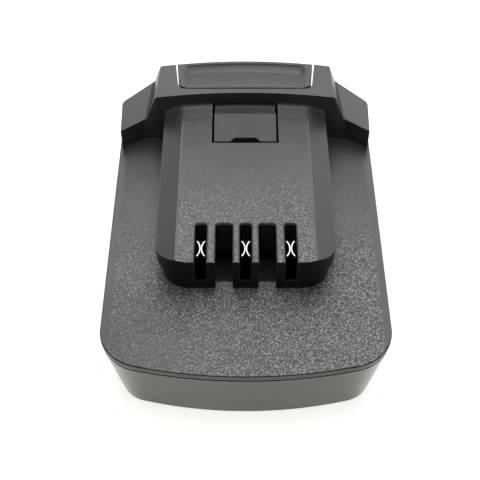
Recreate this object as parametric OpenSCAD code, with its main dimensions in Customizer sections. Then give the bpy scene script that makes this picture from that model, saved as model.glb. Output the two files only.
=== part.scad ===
// Battery adapter: a slotted tongue on top takes the tool, a bay underneath takes
// the pack, and a sprung latch at the rear lets the tool go.
// Millimetres, +Z up, front toward -Y, origin under the middle of the body.

/* [Body] */
// Overall width
body_w = 76; // [74:0.5:82]
// Overall length between the bowed ends
body_l = 105; // [103:0.5:114]
// Radius of the front edge's bow
front_bow_r = 128; // [110:1:180]
// Radius of the rear edge's bow
rear_bow_r = 140; // [120:1:200]
// Radius of the front corners
front_corner_r = 12; // [10:0.5:14]
// Width of the rear corners' slanting cut
rear_cut_w = 10.8; // [10:0.2:12]
// Slant of the rear corners' cut
rear_cut_angle = 38.5; // [34:0.5:42]
// Radius where the rear corners' cut meets the sides
rear_corner_r = 3; // [2:0.5:5]
// Radius where the rear corners' cut meets the rear edge
rear_blend_r = 8; // [6:0.5:12]
// Height of the deck above the ground
deck_z = 17; // [16.8:0.1:20]
// Thickness of the deck plate
deck_t = 2.3; // [2.1:0.1:2.6]
// Height of the deck's rim above the seam between the halves
rim_h = 1; // [0.9:0.1:1.3]
// Chamfer round the top of the rim
rim_chamfer = 0.4; // [0.2:0.1:0.4]
// Height of the band under the seam
band_h = 0.7; // [0.6:0.1:1]
// Height of the groove between the band and the skirt
groove_h = 0.5; // [0.4:0.05:0.6]
// Depth of that groove from the band's face
groove_in = 1; // [0.8:0.1:1.2]
// Step from the band in to the skirt
band_step = 0.35; // [0.2:0.05:0.5]
// How far the skirt's front corners draw in sideways from the band to the ground
foot_side_in = 4.5; // [3:0.1:4.8]
// How far the skirt's front edge draws in from the band to the ground
foot_front_in = 0.2; // [0.1:0.1:0.8]
// How far the skirt's rear draws in from the band to the ground
foot_rear_in = 0.3; // [0.2:0.1:0.6]
// Radius of the front corners at the ground
foot_corner_r = 8; // [7:0.5:10]
// Radius of the front edge's bow at the ground
foot_bow_r = 112; // [106:1:128]
// Wall of the mouldings
wall = 2; // [1.8:0.1:2.2]
// Floor of the front compartment
floor_t = 2; // [1.6:0.1:2.6]
// Height of the locating lip inside the seam
lip_h = 1; // [0.8:0.1:1.2]
// Thickness of the locating lip
lip_t = 1.2; // [1:0.1:1.6]
// Clearance between the locating lip and the skirt
lip_fit = 0.4; // [0.3:0.05:0.5]

/* [Tongue block] */
// Distance from the front edge back to the block
block_setback = 28.1; // [27:0.1:30]
// Height of the block above the deck
block_h = 11.2; // [10.8:0.1:12]
// Width over the rail edges
head_w = 48.4; // [47:0.2:50]
// Width of the flat top between the shoulders
flat_w = 37.4; // [36:0.2:39]
// Width of the neck under the rail edges
neck_w = 45.4; // [45:0.2:46.4]
// How far the neck's front stands back under the rail edges
neck_setback = 0.4; // [0.3:0.1:0.8]
// Drop of the sloping shoulders
shoulder_drop = 2.2; // [1.4:0.1:2.6]
// Height of the rail edges' underside above the deck
rail_under = 4.8; // [4:0.1:5.6]
// Radius of the block's front corners in plan
block_corner_r = 9; // [7:0.5:9.5]

/* [Slots] */
// Length of the slots
slot_l = 13.7; // [13:0.1:15]
// Distance between neighbouring contact slots
contact_pitch = 12; // [11.6:0.1:12.6]
// Width of a contact slot
contact_slot_w = 3.2; // [3.1:0.05:3.4]
// Width of a guide slot
guide_slot_w = 4.6; // [4.4:0.1:4.8]
// Distance of the guide slots from the middle
guide_slot_x = 5.8; // [5.6:0.1:6]
// Bevel round the mouths of the slots
slot_bevel = 0.4; // [0.2:0.05:0.5]
// Radius of the slots' rear corners
slot_corner_r = 1.1; // [0.8:0.1:1.3]
// Height above the deck at which a contact slot opens in the block's front
contact_sill = 3.8; // [3.4:0.1:4.4]
// Length of a guide slot's floor before it opens into the body
guide_sill_l = 2.7; // [2.2:0.1:3.4]

/* [Collar] */
// Height of the collar above the deck
collar_h = 16.4; // [16:0.1:17]
// Distance from the rear edge to the collar's front
collar_depth = 17.6; // [17.2:0.1:19]
// Distance from the rear edge to the middle of the bridge's hollow front
bridge_depth = 15.4; // [15.2:0.1:15.8]
// Width over the bridge at its front
bridge_w = 53.2; // [52.6:0.2:54.2]
// Lean of the flanks from upright
flank_lean = 20.5; // [16:0.5:22]
// Turn of the flanks toward each other at the rear
flank_turn = 3.2; // [2:0.2:4]
// Radius along the top of the flanks
flank_top_r = 0.6; // [0.4:0.1:1.4]
// Height of the wings' front corners above the deck
wing_h = 6.6; // [6:0.1:7]
// Rise of the wings' tops toward the rear
wing_rise = 14.6; // [10:0.2:16]
// How far the wings' outer corners reach ahead of the collar
wing_reach = 4.5; // [2:0.5:6]
// Distance from the middle to where the wings' fronts turn outward
wing_turn_x = 30.4; // [30.2:0.2:31.4]
// Step from the rim in to the collar's sides
collar_step = 0.6; // [0.5:0.1:0.8]

/* [Release latch] */
// Distance from the rear edge to the front of the finger pad
pad_depth = 13.1; // [12.9:0.1:13.3]
// Width of the pad's front edge
pad_front_w = 38.8; // [38:0.2:39.4]
// Width of the pad's rear edge
pad_rear_w = 42; // [41.4:0.2:42.4]
// Radius of the pad's front corners
pad_corner_r = 2; // [0.8:0.1:2.4]
// Height of the pad's rear face
pad_face_h = 11.4; // [10.4:0.2:11.6]
// Gap round the pad
pad_gap = 0.45; // [0.4:0.05:0.6]
// How far the scoop in the pad sinks below the collar's top
scoop_sink = 1.2; // [1:0.1:1.6]
// Radius of the scoop's rear wall
scoop_r = 4; // [3:0.2:5]
// Lip left behind the scoop
scoop_rear_lip = 1; // [0.8:0.1:1.6]
// Lip left beside the scoop
scoop_side_lip = 1.5; // [1.2:0.1:2.2]
// Width of the scoop's sloping sides
scoop_side_run = 1.5; // [1:0.1:2]
// How far the scoop still lies below the collar's top at the pad's front
scoop_run_out = 0.1; // [0.1:0.05:0.4]
// Downward travel of the latch
latch_travel = 3.5; // [3:0.1:3.6]
// Width of the hook
hook_w = 18.2; // [17.6:0.1:18.6]
// Gap beside the hook
hook_gap = 0.6; // [0.5:0.05:0.8]
// Distance from the rear edge to the hook's tip
hook_reach = 30.9; // [30:0.1:31.6]
// Height of the hook's ridge above the block
hook_rise = 2; // [1.8:0.1:2.4]
// Length of the hook's ramp
hook_ramp_l = 8.8; // [7.2:0.1:9.2]
// Length of the hook's flat ridge
hook_ridge_l = 1.2; // [1:0.1:1.4]
// Depth of the notch in the hook's tip
hook_notch_l = 1.4; // [1:0.1:1.6]
// Thickness of the arm behind the hook
arm_t = 3; // [2.4:0.1:3.4]
// Clearance of the arm under the bridge and of the flange under the pillars
stop_gap = 0.3; // [0.2:0.05:0.4]
// Thickness of the stop flange
flange_t = 3; // [2.6:0.1:3.2]
// Thickness of the apron that hangs behind the springs
apron_t = 1.2; // [1:0.1:1.4]

/* [Latch springs] */
// Outer diameter
spring_d = 5; // [4.8:0.1:5.4]
// Wire diameter
spring_wire = 0.6; // [0.5:0.05:0.65]
// Number of turns
spring_turns = 5; // [4:0.5:5]
// Distance of the springs from the middle
spring_x = 13; // [12.5:0.1:13.5]

/* [Battery bay] */
// Width of the bay
bay_w = 58; // [57:0.2:58.4]
// Height of the bay
bay_h = 10.2; // [10:0.1:10.3]
// Thickness of the bay's roof
bay_roof = 1.8; // [1.7:0.05:1.9]
// Reach of the bay's rails
bay_rail_reach = 3.5; // [2.5:0.1:4]
// Height of the bay's rails
bay_rail_h = 3; // [2.4:0.1:3.4]
// Width of the pocket for the pack's own latch
pocket_w = 18; // [16:0.5:19]
// Length of the pocket for the pack's own latch
pocket_l = 9; // [8:0.5:10]
// Depth of the pocket for the pack's own latch
pocket_h = 2.8; // [2.4:0.1:3]
// Thickness of the roof over that pocket
pocket_roof = 1.2; // [1:0.1:1.3]

/* [Contacts] */
// Thickness of a contact leaf
leaf_t = 0.3; // [0.25:0.05:0.4]
// Length of a contact leaf
leaf_l = 5.2; // [4.8:0.1:5.8]
// Gap between two leaves where they come closest
leaf_gap = 0.1; // [0.1:0.05:0.3]
// Width over two leaves at their flared ends
leaf_spread = 2.35; // [2.2:0.05:2.5]
// Depth of the leaves' tops below the block's top
leaf_sink = 2.4; // [1.6:0.1:3]
// Thickness of a blade
blade_t = 0.8; // [0.6:0.05:1]
// Height of a blade
blade_h = 5.6; // [5:0.1:6]
// Distance of the blades from the middle
blade_x = 13; // [12.6:0.1:13.6]
// Length of a blade in the bay
blade_out = 9.5; // [8:0.1:12]
// Length of a blade's tail
blade_tail = 4; // [3.6:0.1:4.4]
// Height of the bay's roof over the blades
blade_above = 1.2; // [1:0.1:1.4]
// How far the blade carrier reaches below the blades
carrier_below = 1.6; // [1.2:0.1:1.8]
// Distance of the carrier's screws outside the blades
carrier_screw_out = 5.5; // [5:0.1:6]
// Width of the blade carrier
carrier_w = 46; // [45:0.5:50]
// Depth of the blade carrier
carrier_d = 6; // [5.4:0.1:6.6]
// Thickness of the carrier's sleeve beside a blade
sleeve_side = 0.9; // [0.7:0.1:1.1]
// Thickness of the carrier's sleeve over and under a blade
sleeve_edge = 0.4; // [0.3:0.1:0.5]
// Clearance round a sleeve
sleeve_fit = 0.2; // [0.15:0.05:0.3]

/* [Board and wires] */
// Thickness of the contact board
board_t = 1.6; // [1.4:0.1:1.7]
// Width of the contact board
board_w = 38; // [37:0.5:39]
// How far the board reaches ahead of the block
board_ahead = 9; // [8.5:0.1:10]
// Outer diameter of a wire
wire_d = 2.4; // [2:0.1:2.6]
// Distance of the wires' board ends from the middle
wire_pad_x = 6; // [5.6:0.1:6.4]
// Radius of the wires' bend under the board
wire_bend_r = 3; // [2.6:0.1:3.2]
// Straight run of the wires before they turn back
wire_run = 4; // [3:0.1:5]
// Height of a solder joint
solder_h = 0.6; // [0.5:0.05:0.7]
// Radius of a contact's solder joint at its tip
solder_r = 0.7; // [0.6:0.05:0.8]

/* [Screws] */
// Distance of the front case screws from the sides
front_screw_side = 11; // [10.6:0.1:11.6]
// Distance of the front case screws from the front edge
front_screw_end = 12.5; // [12:0.1:13]
// Distance of the rear case screws from the rear edge
rear_screw_end = 15.5; // [15:0.1:16]
// Case screw thread diameter
case_screw_d = 3; // [2.6:0.1:3.2]
// Case screw length
case_screw_l = 12; // [11:0.5:12]
// Case screw head diameter
case_head_d = 5.2; // [5:0.1:5.4]
// Small screw thread diameter
small_screw_d = 2; // [1.8:0.1:2.2]
// Small screw length
small_screw_l = 5; // [4.5:0.1:5.5]
// Small screw head diameter
small_head_d = 3.6; // [3.4:0.1:4]
// Clearance round a screw's shank
shank_fit = 0.2; // [0.15:0.05:0.3]
// Clearance round a screw's thread
thread_fit = 0.05; // [0.03:0.01:0.08]

/* [Hidden] */
$fn = 72;

// Amount by which a cut runs past the face that it opens
past = 1;

// Thickness of the slices that the skirt is stretched between
slice_t = 0.2;

// Places along the body
front_y = -body_l / 2;
rear_y = body_l / 2;
block_front = front_y + block_setback;
slot_rear = block_front + slot_l;
slot_mid = block_front + slot_l / 2;
collar_front = rear_y - collar_depth;
bridge_front = rear_y - bridge_depth;
pad_front = rear_y - pad_depth;
hook_tip = rear_y - hook_reach;
bay_front = block_front + wall;

// Heights
seam_z = deck_z - rim_h;
skirt_top = seam_z - band_h;
under_z = deck_z - deck_t;
block_top = deck_z + block_h;
collar_top = deck_z + collar_h;
bay_top = bay_h + bay_roof;
board_z = under_z - board_t;
pad_bottom = collar_top - pad_face_h;
pad_roof = collar_top - scoop_sink - wall;
flange_top = pad_bottom + flange_t / 2;
flange_bottom = flange_top - flange_t;
arm_top = block_top - stop_gap;
arm_bottom = arm_top - arm_t;

// Radius of the rear corners before they are cut
blank_corner_r = 6;

// Foot of the locating lip, and its step in from the body's outline
lip_low = under_z - lip_h;
lip_in = wall + band_step + foot_side_in * (1 - lip_low / skirt_top) + lip_fit;

// Half widths inside the block and the collar
cavity_half = neck_w / 2 - wall;
ceiling_half = flat_w / 2 - wall;
room_half = pad_rear_w / 2 + wall;
flange_half = room_half - pad_gap;
room_rear = rear_y - collar_step - 3 * wall / 2 - pow(room_half, 2) / (2 * rear_bow_r);

// Screws
case_head_h = case_head_d * 0.38;
small_head_h = small_head_d * 0.28;
front_screw = [body_w / 2 - front_screw_side, front_y + front_screw_end];
rear_screw = [(bay_w + body_w) / 4 - band_step - foot_rear_in, rear_y - rear_screw_end];
front_seat = 2 * floor_t;
rear_seat = under_z - case_screw_l / 2;
front_boss_z = front_seat + case_screw_l / 2;
boss_r = case_screw_d / 2 + wall;
head_room = 0.25;
head_recess = 0.9;
thread_room = 0.4;
board_edge = 2.5;
board_screw = [board_w / 2 - board_edge, slot_mid];
carrier_screw = [blade_x + carrier_screw_out, bay_h / 2 + 1];

// Distance of a contact's legs from its middle
clip_leg_y = leaf_l / 2 - 0.8;

// Blades and wires
blade_z = bay_h - blade_above - blade_h;
carrier_bottom = blade_z - carrier_below;
tail_front = bay_front - wall - blade_tail;
wire_z = blade_z + blade_h / 2;
wire_y = block_front - board_ahead + board_edge;
wire_turn_y = wire_y - wire_bend_r - wire_run;
wire_loop_r = (blade_x - wire_pad_x) / 2;

// Springs
spring_r = (spring_d - spring_wire) / 2;
peg_fit = 0.35;
spring_peg_r = spring_r - spring_wire / 2 - peg_fit;
apron_front = room_rear - pad_gap - apron_t;
spring_clear = 0.5;
spring_y = apron_front - spring_d / 2 - spring_clear;
latch_peg_l = 1.5;
case_peg_l = 2;
spring_low = bay_top;
spring_high = flange_bottom;

body_grey = "#3a3a3a";
latch_grey = "#424242";
metal = "#c9ccd0";

// Plan outline of the body: two sides, two bows, rounded front corners and slanting rear corners

function corner_x(r) = body_w / 2 - r;
function bow_y(bow_r) = body_l / 2 - bow_r;
function corner_y(r, bow_r) = bow_y(bow_r) + sqrt(pow(bow_r - r, 2) - pow(corner_x(r), 2));

// Where the rear corners' slanting cut starts on the bow, and how far it moves forward when drawn in
cut_start = [corner_x(rear_cut_w), bow_y(rear_bow_r) + sqrt(pow(rear_bow_r, 2) - pow(corner_x(rear_cut_w), 2))];
cut_shift = (1 - sin(rear_cut_angle)) / cos(rear_cut_angle);

// Sector of the plan that a corner arc spans, as seen from the arc's centre
module corner_wedge(r, bow_r, z0, z1) {
    cx = corner_x(r);
    cy = corner_y(r, bow_r);
    far = 3 * r;
    along = [cx, cy - bow_y(bow_r)] / (bow_r - r) * far;
    translate([cx, cy, z0])
        linear_extrude(z1 - z0)
            polygon([[0, 0], [far, 0], [far, far], along]);
}

module corner_round(r, bow_r, z0, z1, in0, in1) {
    intersection() {
        corner_wedge(r, bow_r, z0, z1);
        translate([corner_x(r), corner_y(r, bow_r), z0])
            cylinder(h = z1 - z0, r1 = r - in0, r2 = r - in1);
    }
}

module bow(bow_r, z0, z1, in0, in1) {
    translate([0, bow_y(bow_r), z0])
        cylinder(h = z1 - z0, r1 = bow_r - in0, r2 = bow_r - in1, $fn = 240);
}

// Outline with all four corners round, drawn in by in0 at the bottom and in1 at the top
module body_blank(z0, z1, in0, in1) {
    half0 = body_w / 2 - in0;
    half1 = body_w / 2 - in1;
    difference() {
        intersection() {
            bow(rear_bow_r, z0, z1, in0, in1);
            mirror([0, 1, 0]) bow(front_bow_r, z0, z1, in0, in1);
            along_y(-body_l, body_l)
                polygon([[-half0, z0], [half0, z0], [half1, z1], [-half1, z1]]);
        }
        both_sides() {
            corner_wedge(blank_corner_r, rear_bow_r, z0 - past, z1 + past);
            mirror([0, 1, 0]) corner_wedge(front_corner_r, front_bow_r, z0 - past, z1 + past);
        }
    }
    both_sides() {
        corner_round(blank_corner_r, rear_bow_r, z0, z1, in0, in1);
        mirror([0, 1, 0]) corner_round(front_corner_r, front_bow_r, z0, z1, in0, in1);
    }
}

// What the slanting rear corners take off an outline that is drawn in by inset
module rear_cuts(inset) {
    away = body_w / 2;
    lead = 5;
    end = cut_end(0);
    before = cut_start + away / 2 * [-cos(rear_cut_angle / 2), sin(rear_cut_angle / 2)];
    after = end + away / 2 * [sin(lead), -cos(lead)];
    both_sides()
        translate([-inset, -inset * cut_shift, -past])
            linear_extrude(collar_top + 2 * past)
                polygon(rounded(
                    [before, cut_start, end, after, after + [away, 0], [after.x + away, before.y]],
                    [0, rear_blend_r, rear_corner_r, 0, 0, 0]
                ));
}

// Right half of an outline's front: bow and corner arc
function front_half(side_in, front_in, corner_r, bow_r, steps = 12) =
    let (
        cx = body_w / 2 - side_in - corner_r,
        turn = asin(cx / (bow_r - corner_r)),
        bow_c = front_y + front_in + bow_r,
        cy = bow_c - (bow_r - corner_r) * cos(turn)
    )
    concat(
        [for (i = [1:steps]) let (a = turn * i / steps) [bow_r * sin(a), bow_c - bow_r * cos(a)]],
        [
            for (i = [1:steps])
                let (a = turn + (90 - turn) * i / steps)
                    [cx + corner_r * sin(a), cy - corner_r * cos(a)]
        ]
    );

// Right half of an outline's rear: the bow, from x = reach in to the middle
function rear_half(inset, reach, steps = 12) =
    let (r = rear_bow_r - inset, turn = asin(reach / r))
    [for (i = [steps:-1:1]) let (a = turn * i / steps) [r * sin(a), bow_y(rear_bow_r) + r * cos(a)]];

// Where the slanting cut meets the side, and how far it reaches along the bow, drawn in by inset
function cut_end(inset) =
    cut_start + [rear_cut_w, -rear_cut_w * tan(rear_cut_angle)] - inset * [1, cut_shift];
function cut_reach(inset) =
    let (slope = asin(cut_start.x / rear_bow_r))
    cut_start.x - inset * sin((rear_cut_angle + slope) / 2) / cos((rear_cut_angle - slope) / 2);

// Slice of the skirt's outline from z0 to z1, drawn in by inset; share is 0 at the ground and 1 at the top
module skirt_slice(z0, z1, share, inset, cut = false) {
    left = 1 - share;
    by = inset + band_step;
    rear_in = by + foot_rear_in * left;
    corner = foot_corner_r + (front_corner_r - band_step - foot_corner_r) * share;
    bow = foot_bow_r + (front_bow_r - foot_bow_r) * share;
    front = front_half(by + foot_side_in * left, by + foot_front_in * left, corner - inset, bow - inset);
    rear = cut
        ? concat([cut_end(rear_in)], rear_half(rear_in, cut_reach(rear_in)))
        : rear_half(rear_in, body_w / 2 - rear_in);
    translate([0, 0, z0])
        linear_extrude(z1 - z0)
            polygon(mirrored(concat(front, rear)));
}

module body_prism(z0, z1, in0 = 0, in1 = 0) {
    difference() {
        body_blank(z0, z1, in0, in1);
        rear_cuts(min(in0, in1));
    }
}

// Shared tools

module both_sides() {
    children();
    mirror([1, 0, 0]) children();
}

// Profile in X and Z, run from y0 to y1
module along_y(y0, y1) {
    rotate([90, 0, 0])
        translate([0, 0, -y1])
            linear_extrude(y1 - y0)
                children();
}

// Profile in Y and Z, run across the middle
module along_x(width) {
    rotate([90, 0, 90])
        linear_extrude(width, center = true)
            children();
}

// Box across the middle, from y0 to y1 and from z0 to z1
module middle_box(half, y0, y1, z0, z1) {
    translate([-half, y0, z0])
        cube([2 * half, y1 - y0, z1 - z0]);
}

function unit(v) = v / norm(v);
function turned(v, a) = [v.x * cos(a) - v.y * sin(a), v.x * sin(a) + v.y * cos(a)];

// Arc of radius r that rounds the corner p between its neighbours a and b
function corner_arc(a, p, b, r, steps = 10) =
    let (
        u = unit(a - p),
        v = unit(b - p),
        half = acos(u * v) / 2,
        centre = p + unit(u + v) * r / sin(half),
        start = p + u * r / tan(half) - centre,
        sweep = (180 - 2 * half) * sign(cross(v, u))
    )
    [for (i = [0:steps]) centre + turned(start, sweep * i / steps)];

// Closed outline with a radius for each of its corners
function rounded(pts, radii) = [
    for (i = [0:len(pts) - 1])
        let (n = len(pts), p = pts[i])
            each radii[i] == 0 ? [p] : corner_arc(pts[(i + n - 1) % n], p, pts[(i + 1) % n], radii[i])
];

// Half outline closed by its mirror image
function mirrored(pts) = concat(pts, [for (i = [len(pts) - 1:-1:0]) [-pts[i].x, pts[i].y]]);

// Tapping screw with its head's underside at the origin, pointing up
module screw(d, l, head_d, head_h) {
    cross_l = head_d * 0.55;
    cross_w = head_d * 0.14;
    tip = d / 3;
    difference() {
        translate([0, 0, -head_h])
            cylinder(h = head_h, d = head_d);
        for (turn = [0, 90])
            rotate(turn)
                translate([-cross_l / 2, -cross_w / 2, -head_h - past])
                    cube([cross_l, cross_w, past + head_h * 0.6]);
    }
    cylinder(h = l - tip, d = d);
    translate([0, 0, l - tip])
        cylinder(h = tip, d1 = d, d2 = d / 2);
}

// Tongue block

// Outline in plan, rounded at the two front corners
module block_plan(half, front, r) {
    middle = half - r;
    rear = bridge_front + past;
    translate([-middle, front])
        square([2 * middle, rear - front]);
    both_sides() {
        translate([middle, front + r]) circle(r);
        translate([middle - past, front + r])
            square([r + past, rear - front - r]);
    }
}

module block_solid() {
    head_half = head_w / 2;
    neck_half = neck_w / 2;
    shoulder = [head_half, block_top - shoulder_drop];
    under = deck_z + rail_under;
    translate([0, 0, deck_z - past])
        linear_extrude(block_h - shoulder_drop + past)
            block_plan(neck_half, block_front + neck_setback, block_corner_r - (head_half - neck_half));
    intersection() {
        translate([0, 0, under])
            linear_extrude(block_h)
                block_plan(head_half, block_front, block_corner_r);
        along_y(block_front, bridge_front + past)
            polygon(mirrored([
                [neck_half, under],
                [head_half, under],
                shoulder,
                [flat_w / 2, block_top]
            ]));
    }
}

// Slot open at the block's front, from floor_z up through the top
module slot(x, w, y0, floor_z) {
    inner = w / 2 - slot_corner_r;
    translate([x, 0, floor_z])
        linear_extrude(block_top + past - floor_z) {
            translate([-w / 2, y0])
                square([w, slot_rear - slot_corner_r - y0]);
            translate([-inner, y0])
                square([2 * inner, slot_rear - y0]);
            for (side = [-1, 1])
                translate([side * inner, slot_rear - slot_corner_r])
                    circle(slot_corner_r);
        }
    translate([x, 0, 0])
        slot_mouth(w);
}

// Bevel along both sides and the rear end of a slot's mouth
module slot_mouth(w) {
    half = w / 2;
    wide = half + slot_bevel + past;
    along_y(block_front - past, slot_rear - slot_corner_r)
        polygon([
            [-half, block_top - slot_bevel],
            [half, block_top - slot_bevel],
            [wide, block_top + past],
            [-wide, block_top + past]
        ]);
    along_x(w - 2 * slot_corner_r)
        polygon([
            [slot_rear - slot_corner_r, block_top - slot_bevel],
            [slot_rear, block_top - slot_bevel],
            [slot_rear + slot_bevel + past, block_top + past],
            [slot_rear - slot_corner_r, block_top + past]
        ]);
    for (side = [-1, 1])
        translate([side * (half - slot_corner_r), slot_rear - slot_corner_r, block_top - slot_bevel])
            cylinder(h = slot_bevel + past, r1 = slot_corner_r, r2 = slot_corner_r + slot_bevel + past);
}

// Collar

module collar_plan() {
    side = body_w / 2 + past;
    wing_front = collar_front - wing_reach;
    polygon(mirrored([
        [side, rear_y + past],
        [side, wing_front],
        [body_w / 2, wing_front],
        [wing_turn_x, collar_front]
    ]));
}

// Everything on the inner side of the right flank, which turns inward at the rear
module inside_flank() {
    half = bridge_w / 2;
    top = collar_top;
    low = deck_z - past;
    translate([half, collar_front, 0])
        rotate(flank_turn)
            along_y(-wing_reach - past, 2 * collar_depth)
                polygon(rounded(
                    [[-body_w, low], [(top - low) * tan(flank_lean), low], [0, top], [-body_w, top]],
                    [0, 0, flank_top_r, 0]
                ));
}

// Side wings whose flat tops rise toward the rear
module wing_ramp() {
    y0 = collar_front - wing_reach;
    y1 = rear_y + past;
    along_x(body_w)
        polygon([
            [y0, deck_z - past],
            [y1, deck_z - past],
            [y1, deck_z + wing_h + (y1 - y0) * tan(wing_rise)],
            [y0, deck_z + wing_h]
        ]);
}

module collar_solid() {
    hollow = bridge_front - collar_front;
    hollow_r = (pow(bridge_w / 2, 2) + pow(hollow, 2)) / (2 * hollow);
    difference() {
        intersection() {
            body_prism(deck_z - past, collar_top, collar_step, collar_step);
            translate([0, 0, deck_z - past])
                linear_extrude(collar_h + past)
                    collar_plan();
            union() {
                wing_ramp();
                intersection() {
                    inside_flank();
                    mirror([1, 0, 0]) inside_flank();
                }
            }
        }
        intersection() {
            translate([0, bridge_front - hollow_r, deck_z])
                cylinder(h = collar_h + past, r = hollow_r, $fn = 240);
            middle_box(bridge_w / 2, collar_front - past, bridge_front + past, deck_z, collar_top + past);
        }
    }
}

// Outline of the finger pad, widened by grow
module pad_plan(grow) {
    front = pad_front - grow;
    front_half = pad_front_w / 2 + grow;
    rear_half = pad_rear_w / 2 + grow;
    r = pad_corner_r + grow;
    polygon(rounded(
        [[front_half, front], [rear_half, rear_y + past], [-rear_half, rear_y + past], [-front_half, front]],
        [r, 0, 0, r]
    ));
}

// Housing halves

module upper_housing() {
    color(body_grey)
    difference() {
        union() {
            difference() {
                union() {
                    body_blank(seam_z, deck_z - rim_chamfer, 0, 0);
                    body_blank(deck_z - rim_chamfer, deck_z, 0, rim_chamfer);
                }
                rear_cuts(0);
            }
            body_prism(under_z, seam_z + past / 2, lip_in, lip_in);
            block_solid();
            collar_solid();
            difference() {
                body_prism(lip_low, under_z + past, lip_in, lip_in);
                body_prism(lip_low - past, under_z + 2 * past, lip_in + lip_t, lip_in + lip_t);
                middle_box(room_half + wall, pad_front, rear_y, lip_low - past, under_z);
                both_sides()
                    translate([rear_screw.x, rear_screw.y, lip_low - past])
                        cylinder(h = lip_h + past, r = boss_r + wall);
            }
            both_sides()
                translate([front_screw.x, front_screw.y, front_boss_z])
                    cylinder(h = under_z + past - front_boss_z, r = boss_r);
        }
        block_cuts();
        latch_cuts();
        both_sides() {
            wing_core();
            translate([front_screw.x, front_screw.y, front_boss_z - past])
                cylinder(h = case_screw_l / 2 + past + thread_room, d = case_screw_d + 2 * thread_fit);
            translate([rear_screw.x, rear_screw.y, under_z - past])
                cylinder(h = case_screw_l / 2 + past + thread_room, d = case_screw_d + 2 * thread_fit);
            translate([board_screw.x, board_screw.y, under_z - past])
                cylinder(h = small_screw_l, d = small_screw_d + 2 * thread_fit);
        }
    }
}

// Hollow under a wing, leaving the screw's boss
module wing_core() {
    inner = room_half + wall;
    y0 = collar_front + wall;
    y1 = rear_screw.y + boss_r + wall / 2;
    top = deck_z + wing_h - wall;
    difference() {
        translate([inner, y0, under_z - past])
            cube([rear_screw.x - inner, y1 - y0, top - under_z + past]);
        translate([rear_screw.x, rear_screw.y, under_z - 2 * past])
            cylinder(h = top - under_z + 3 * past, r = boss_r);
    }
}

module block_cuts() {
    for (i = [-1:1]) {
        slot(i * contact_pitch, contact_slot_w, block_front - past, deck_z + contact_sill);
        translate([i * contact_pitch, 0, 0])
            contact_well();
    }
    for (side = [-1, 1]) {
        slot(side * guide_slot_x, guide_slot_w, block_front - past, deck_z);
        translate([side * guide_slot_x - guide_slot_w / 2, block_front + guide_sill_l, under_z - past])
            cube([guide_slot_w, slot_l - guide_sill_l - slot_corner_r, deck_t + 2 * past]);
    }
    middle_box(cavity_half, slot_rear + wall, collar_front, under_z - past, deck_z + rail_under + wall);
    middle_box(ceiling_half, slot_rear + wall, collar_front, deck_z, block_top - wall);
}

// Room under a contact slot, with a floor that falls inward from the block's front
module contact_well() {
    rear = slot_rear - slot_corner_r;
    sill = deck_z + contact_sill;
    along_x(contact_slot_w)
        polygon([
            [block_front, sill],
            [block_front + wall, sill - wall],
            [block_front + wall, under_z - past],
            [rear, under_z - past],
            [rear, sill + past],
            [block_front, sill + past]
        ]);
}

module latch_cuts() {
    middle_box(hook_w / 2 + hook_gap, hook_tip - hook_gap, pad_front, under_z - past, block_top + past / 100);
    middle_box(room_half, pad_front - wall, room_rear, under_z - past, flange_top + stop_gap);
    translate([0, 0, deck_z + past])
        linear_extrude(collar_h)
            pad_plan(pad_gap);
}

module skirt() {
    difference() {
        hull() {
            skirt_slice(0, slice_t, 0, 0);
            skirt_slice(skirt_top - slice_t, skirt_top, 1, 0);
        }
        rear_cuts(band_step);
    }
}

// Room inside the skirt, a wall's thickness in from its outside
module skirt_room() {
    hull() {
        skirt_slice(floor_t, floor_t + slice_t, floor_t / skirt_top, wall, true);
        skirt_slice(skirt_top, seam_z + past, 1, wall, true);
    }
}

module lower_housing() {
    color(body_grey)
    difference() {
        union() {
            difference() {
                union() {
                    skirt();
                    body_prism(skirt_top, seam_z);
                }
                skirt_room();
                band_groove();
            }
            intersection() {
                skirt();
                union() {
                    middle_box(bay_w / 2 + wall, bay_front - wall, rear_y, 0, bay_top);
                    both_sides() {
                        translate([rear_screw.x, rear_screw.y, 0])
                            cylinder(h = under_z, r = boss_r + wall / 2);
                        translate([front_screw.x, front_screw.y, 0])
                            cylinder(h = front_boss_z, r = boss_r + wall / 4);
                    }
                }
            }
            middle_box(
                pocket_w / 2 + wall, hook_tip, hook_tip + pocket_l + 2 * wall,
                bay_h, bay_h + pocket_h + pocket_roof
            );
            both_sides()
                translate([spring_x, spring_y, bay_h])
                    cylinder(h = bay_roof + case_peg_l, r = spring_peg_r);
        }
        bay_cuts();
        both_sides() {
            screw_seat(front_screw, front_seat, front_boss_z);
            screw_seat(rear_screw, rear_seat, under_z);
        }
    }
}

// Everything outside the groove's bottom, just under the band
module band_groove() {
    low = skirt_top - groove_h;
    high = skirt_top + past / 20;
    difference() {
        middle_box(body_w, -body_l, body_l, low, high);
        body_prism(low - past, high + past, groove_in, groove_in);
    }
}

// Counterbore and shank hole of a case screw, from the ground up
module screw_seat(place, seat, top) {
    translate([place.x, place.y, -past])
        cylinder(h = seat + past, d = case_head_d + 2 * head_room);
    translate([place.x, place.y, 0])
        cylinder(h = top + past, d = case_screw_d + 2 * shank_fit);
}

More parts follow.
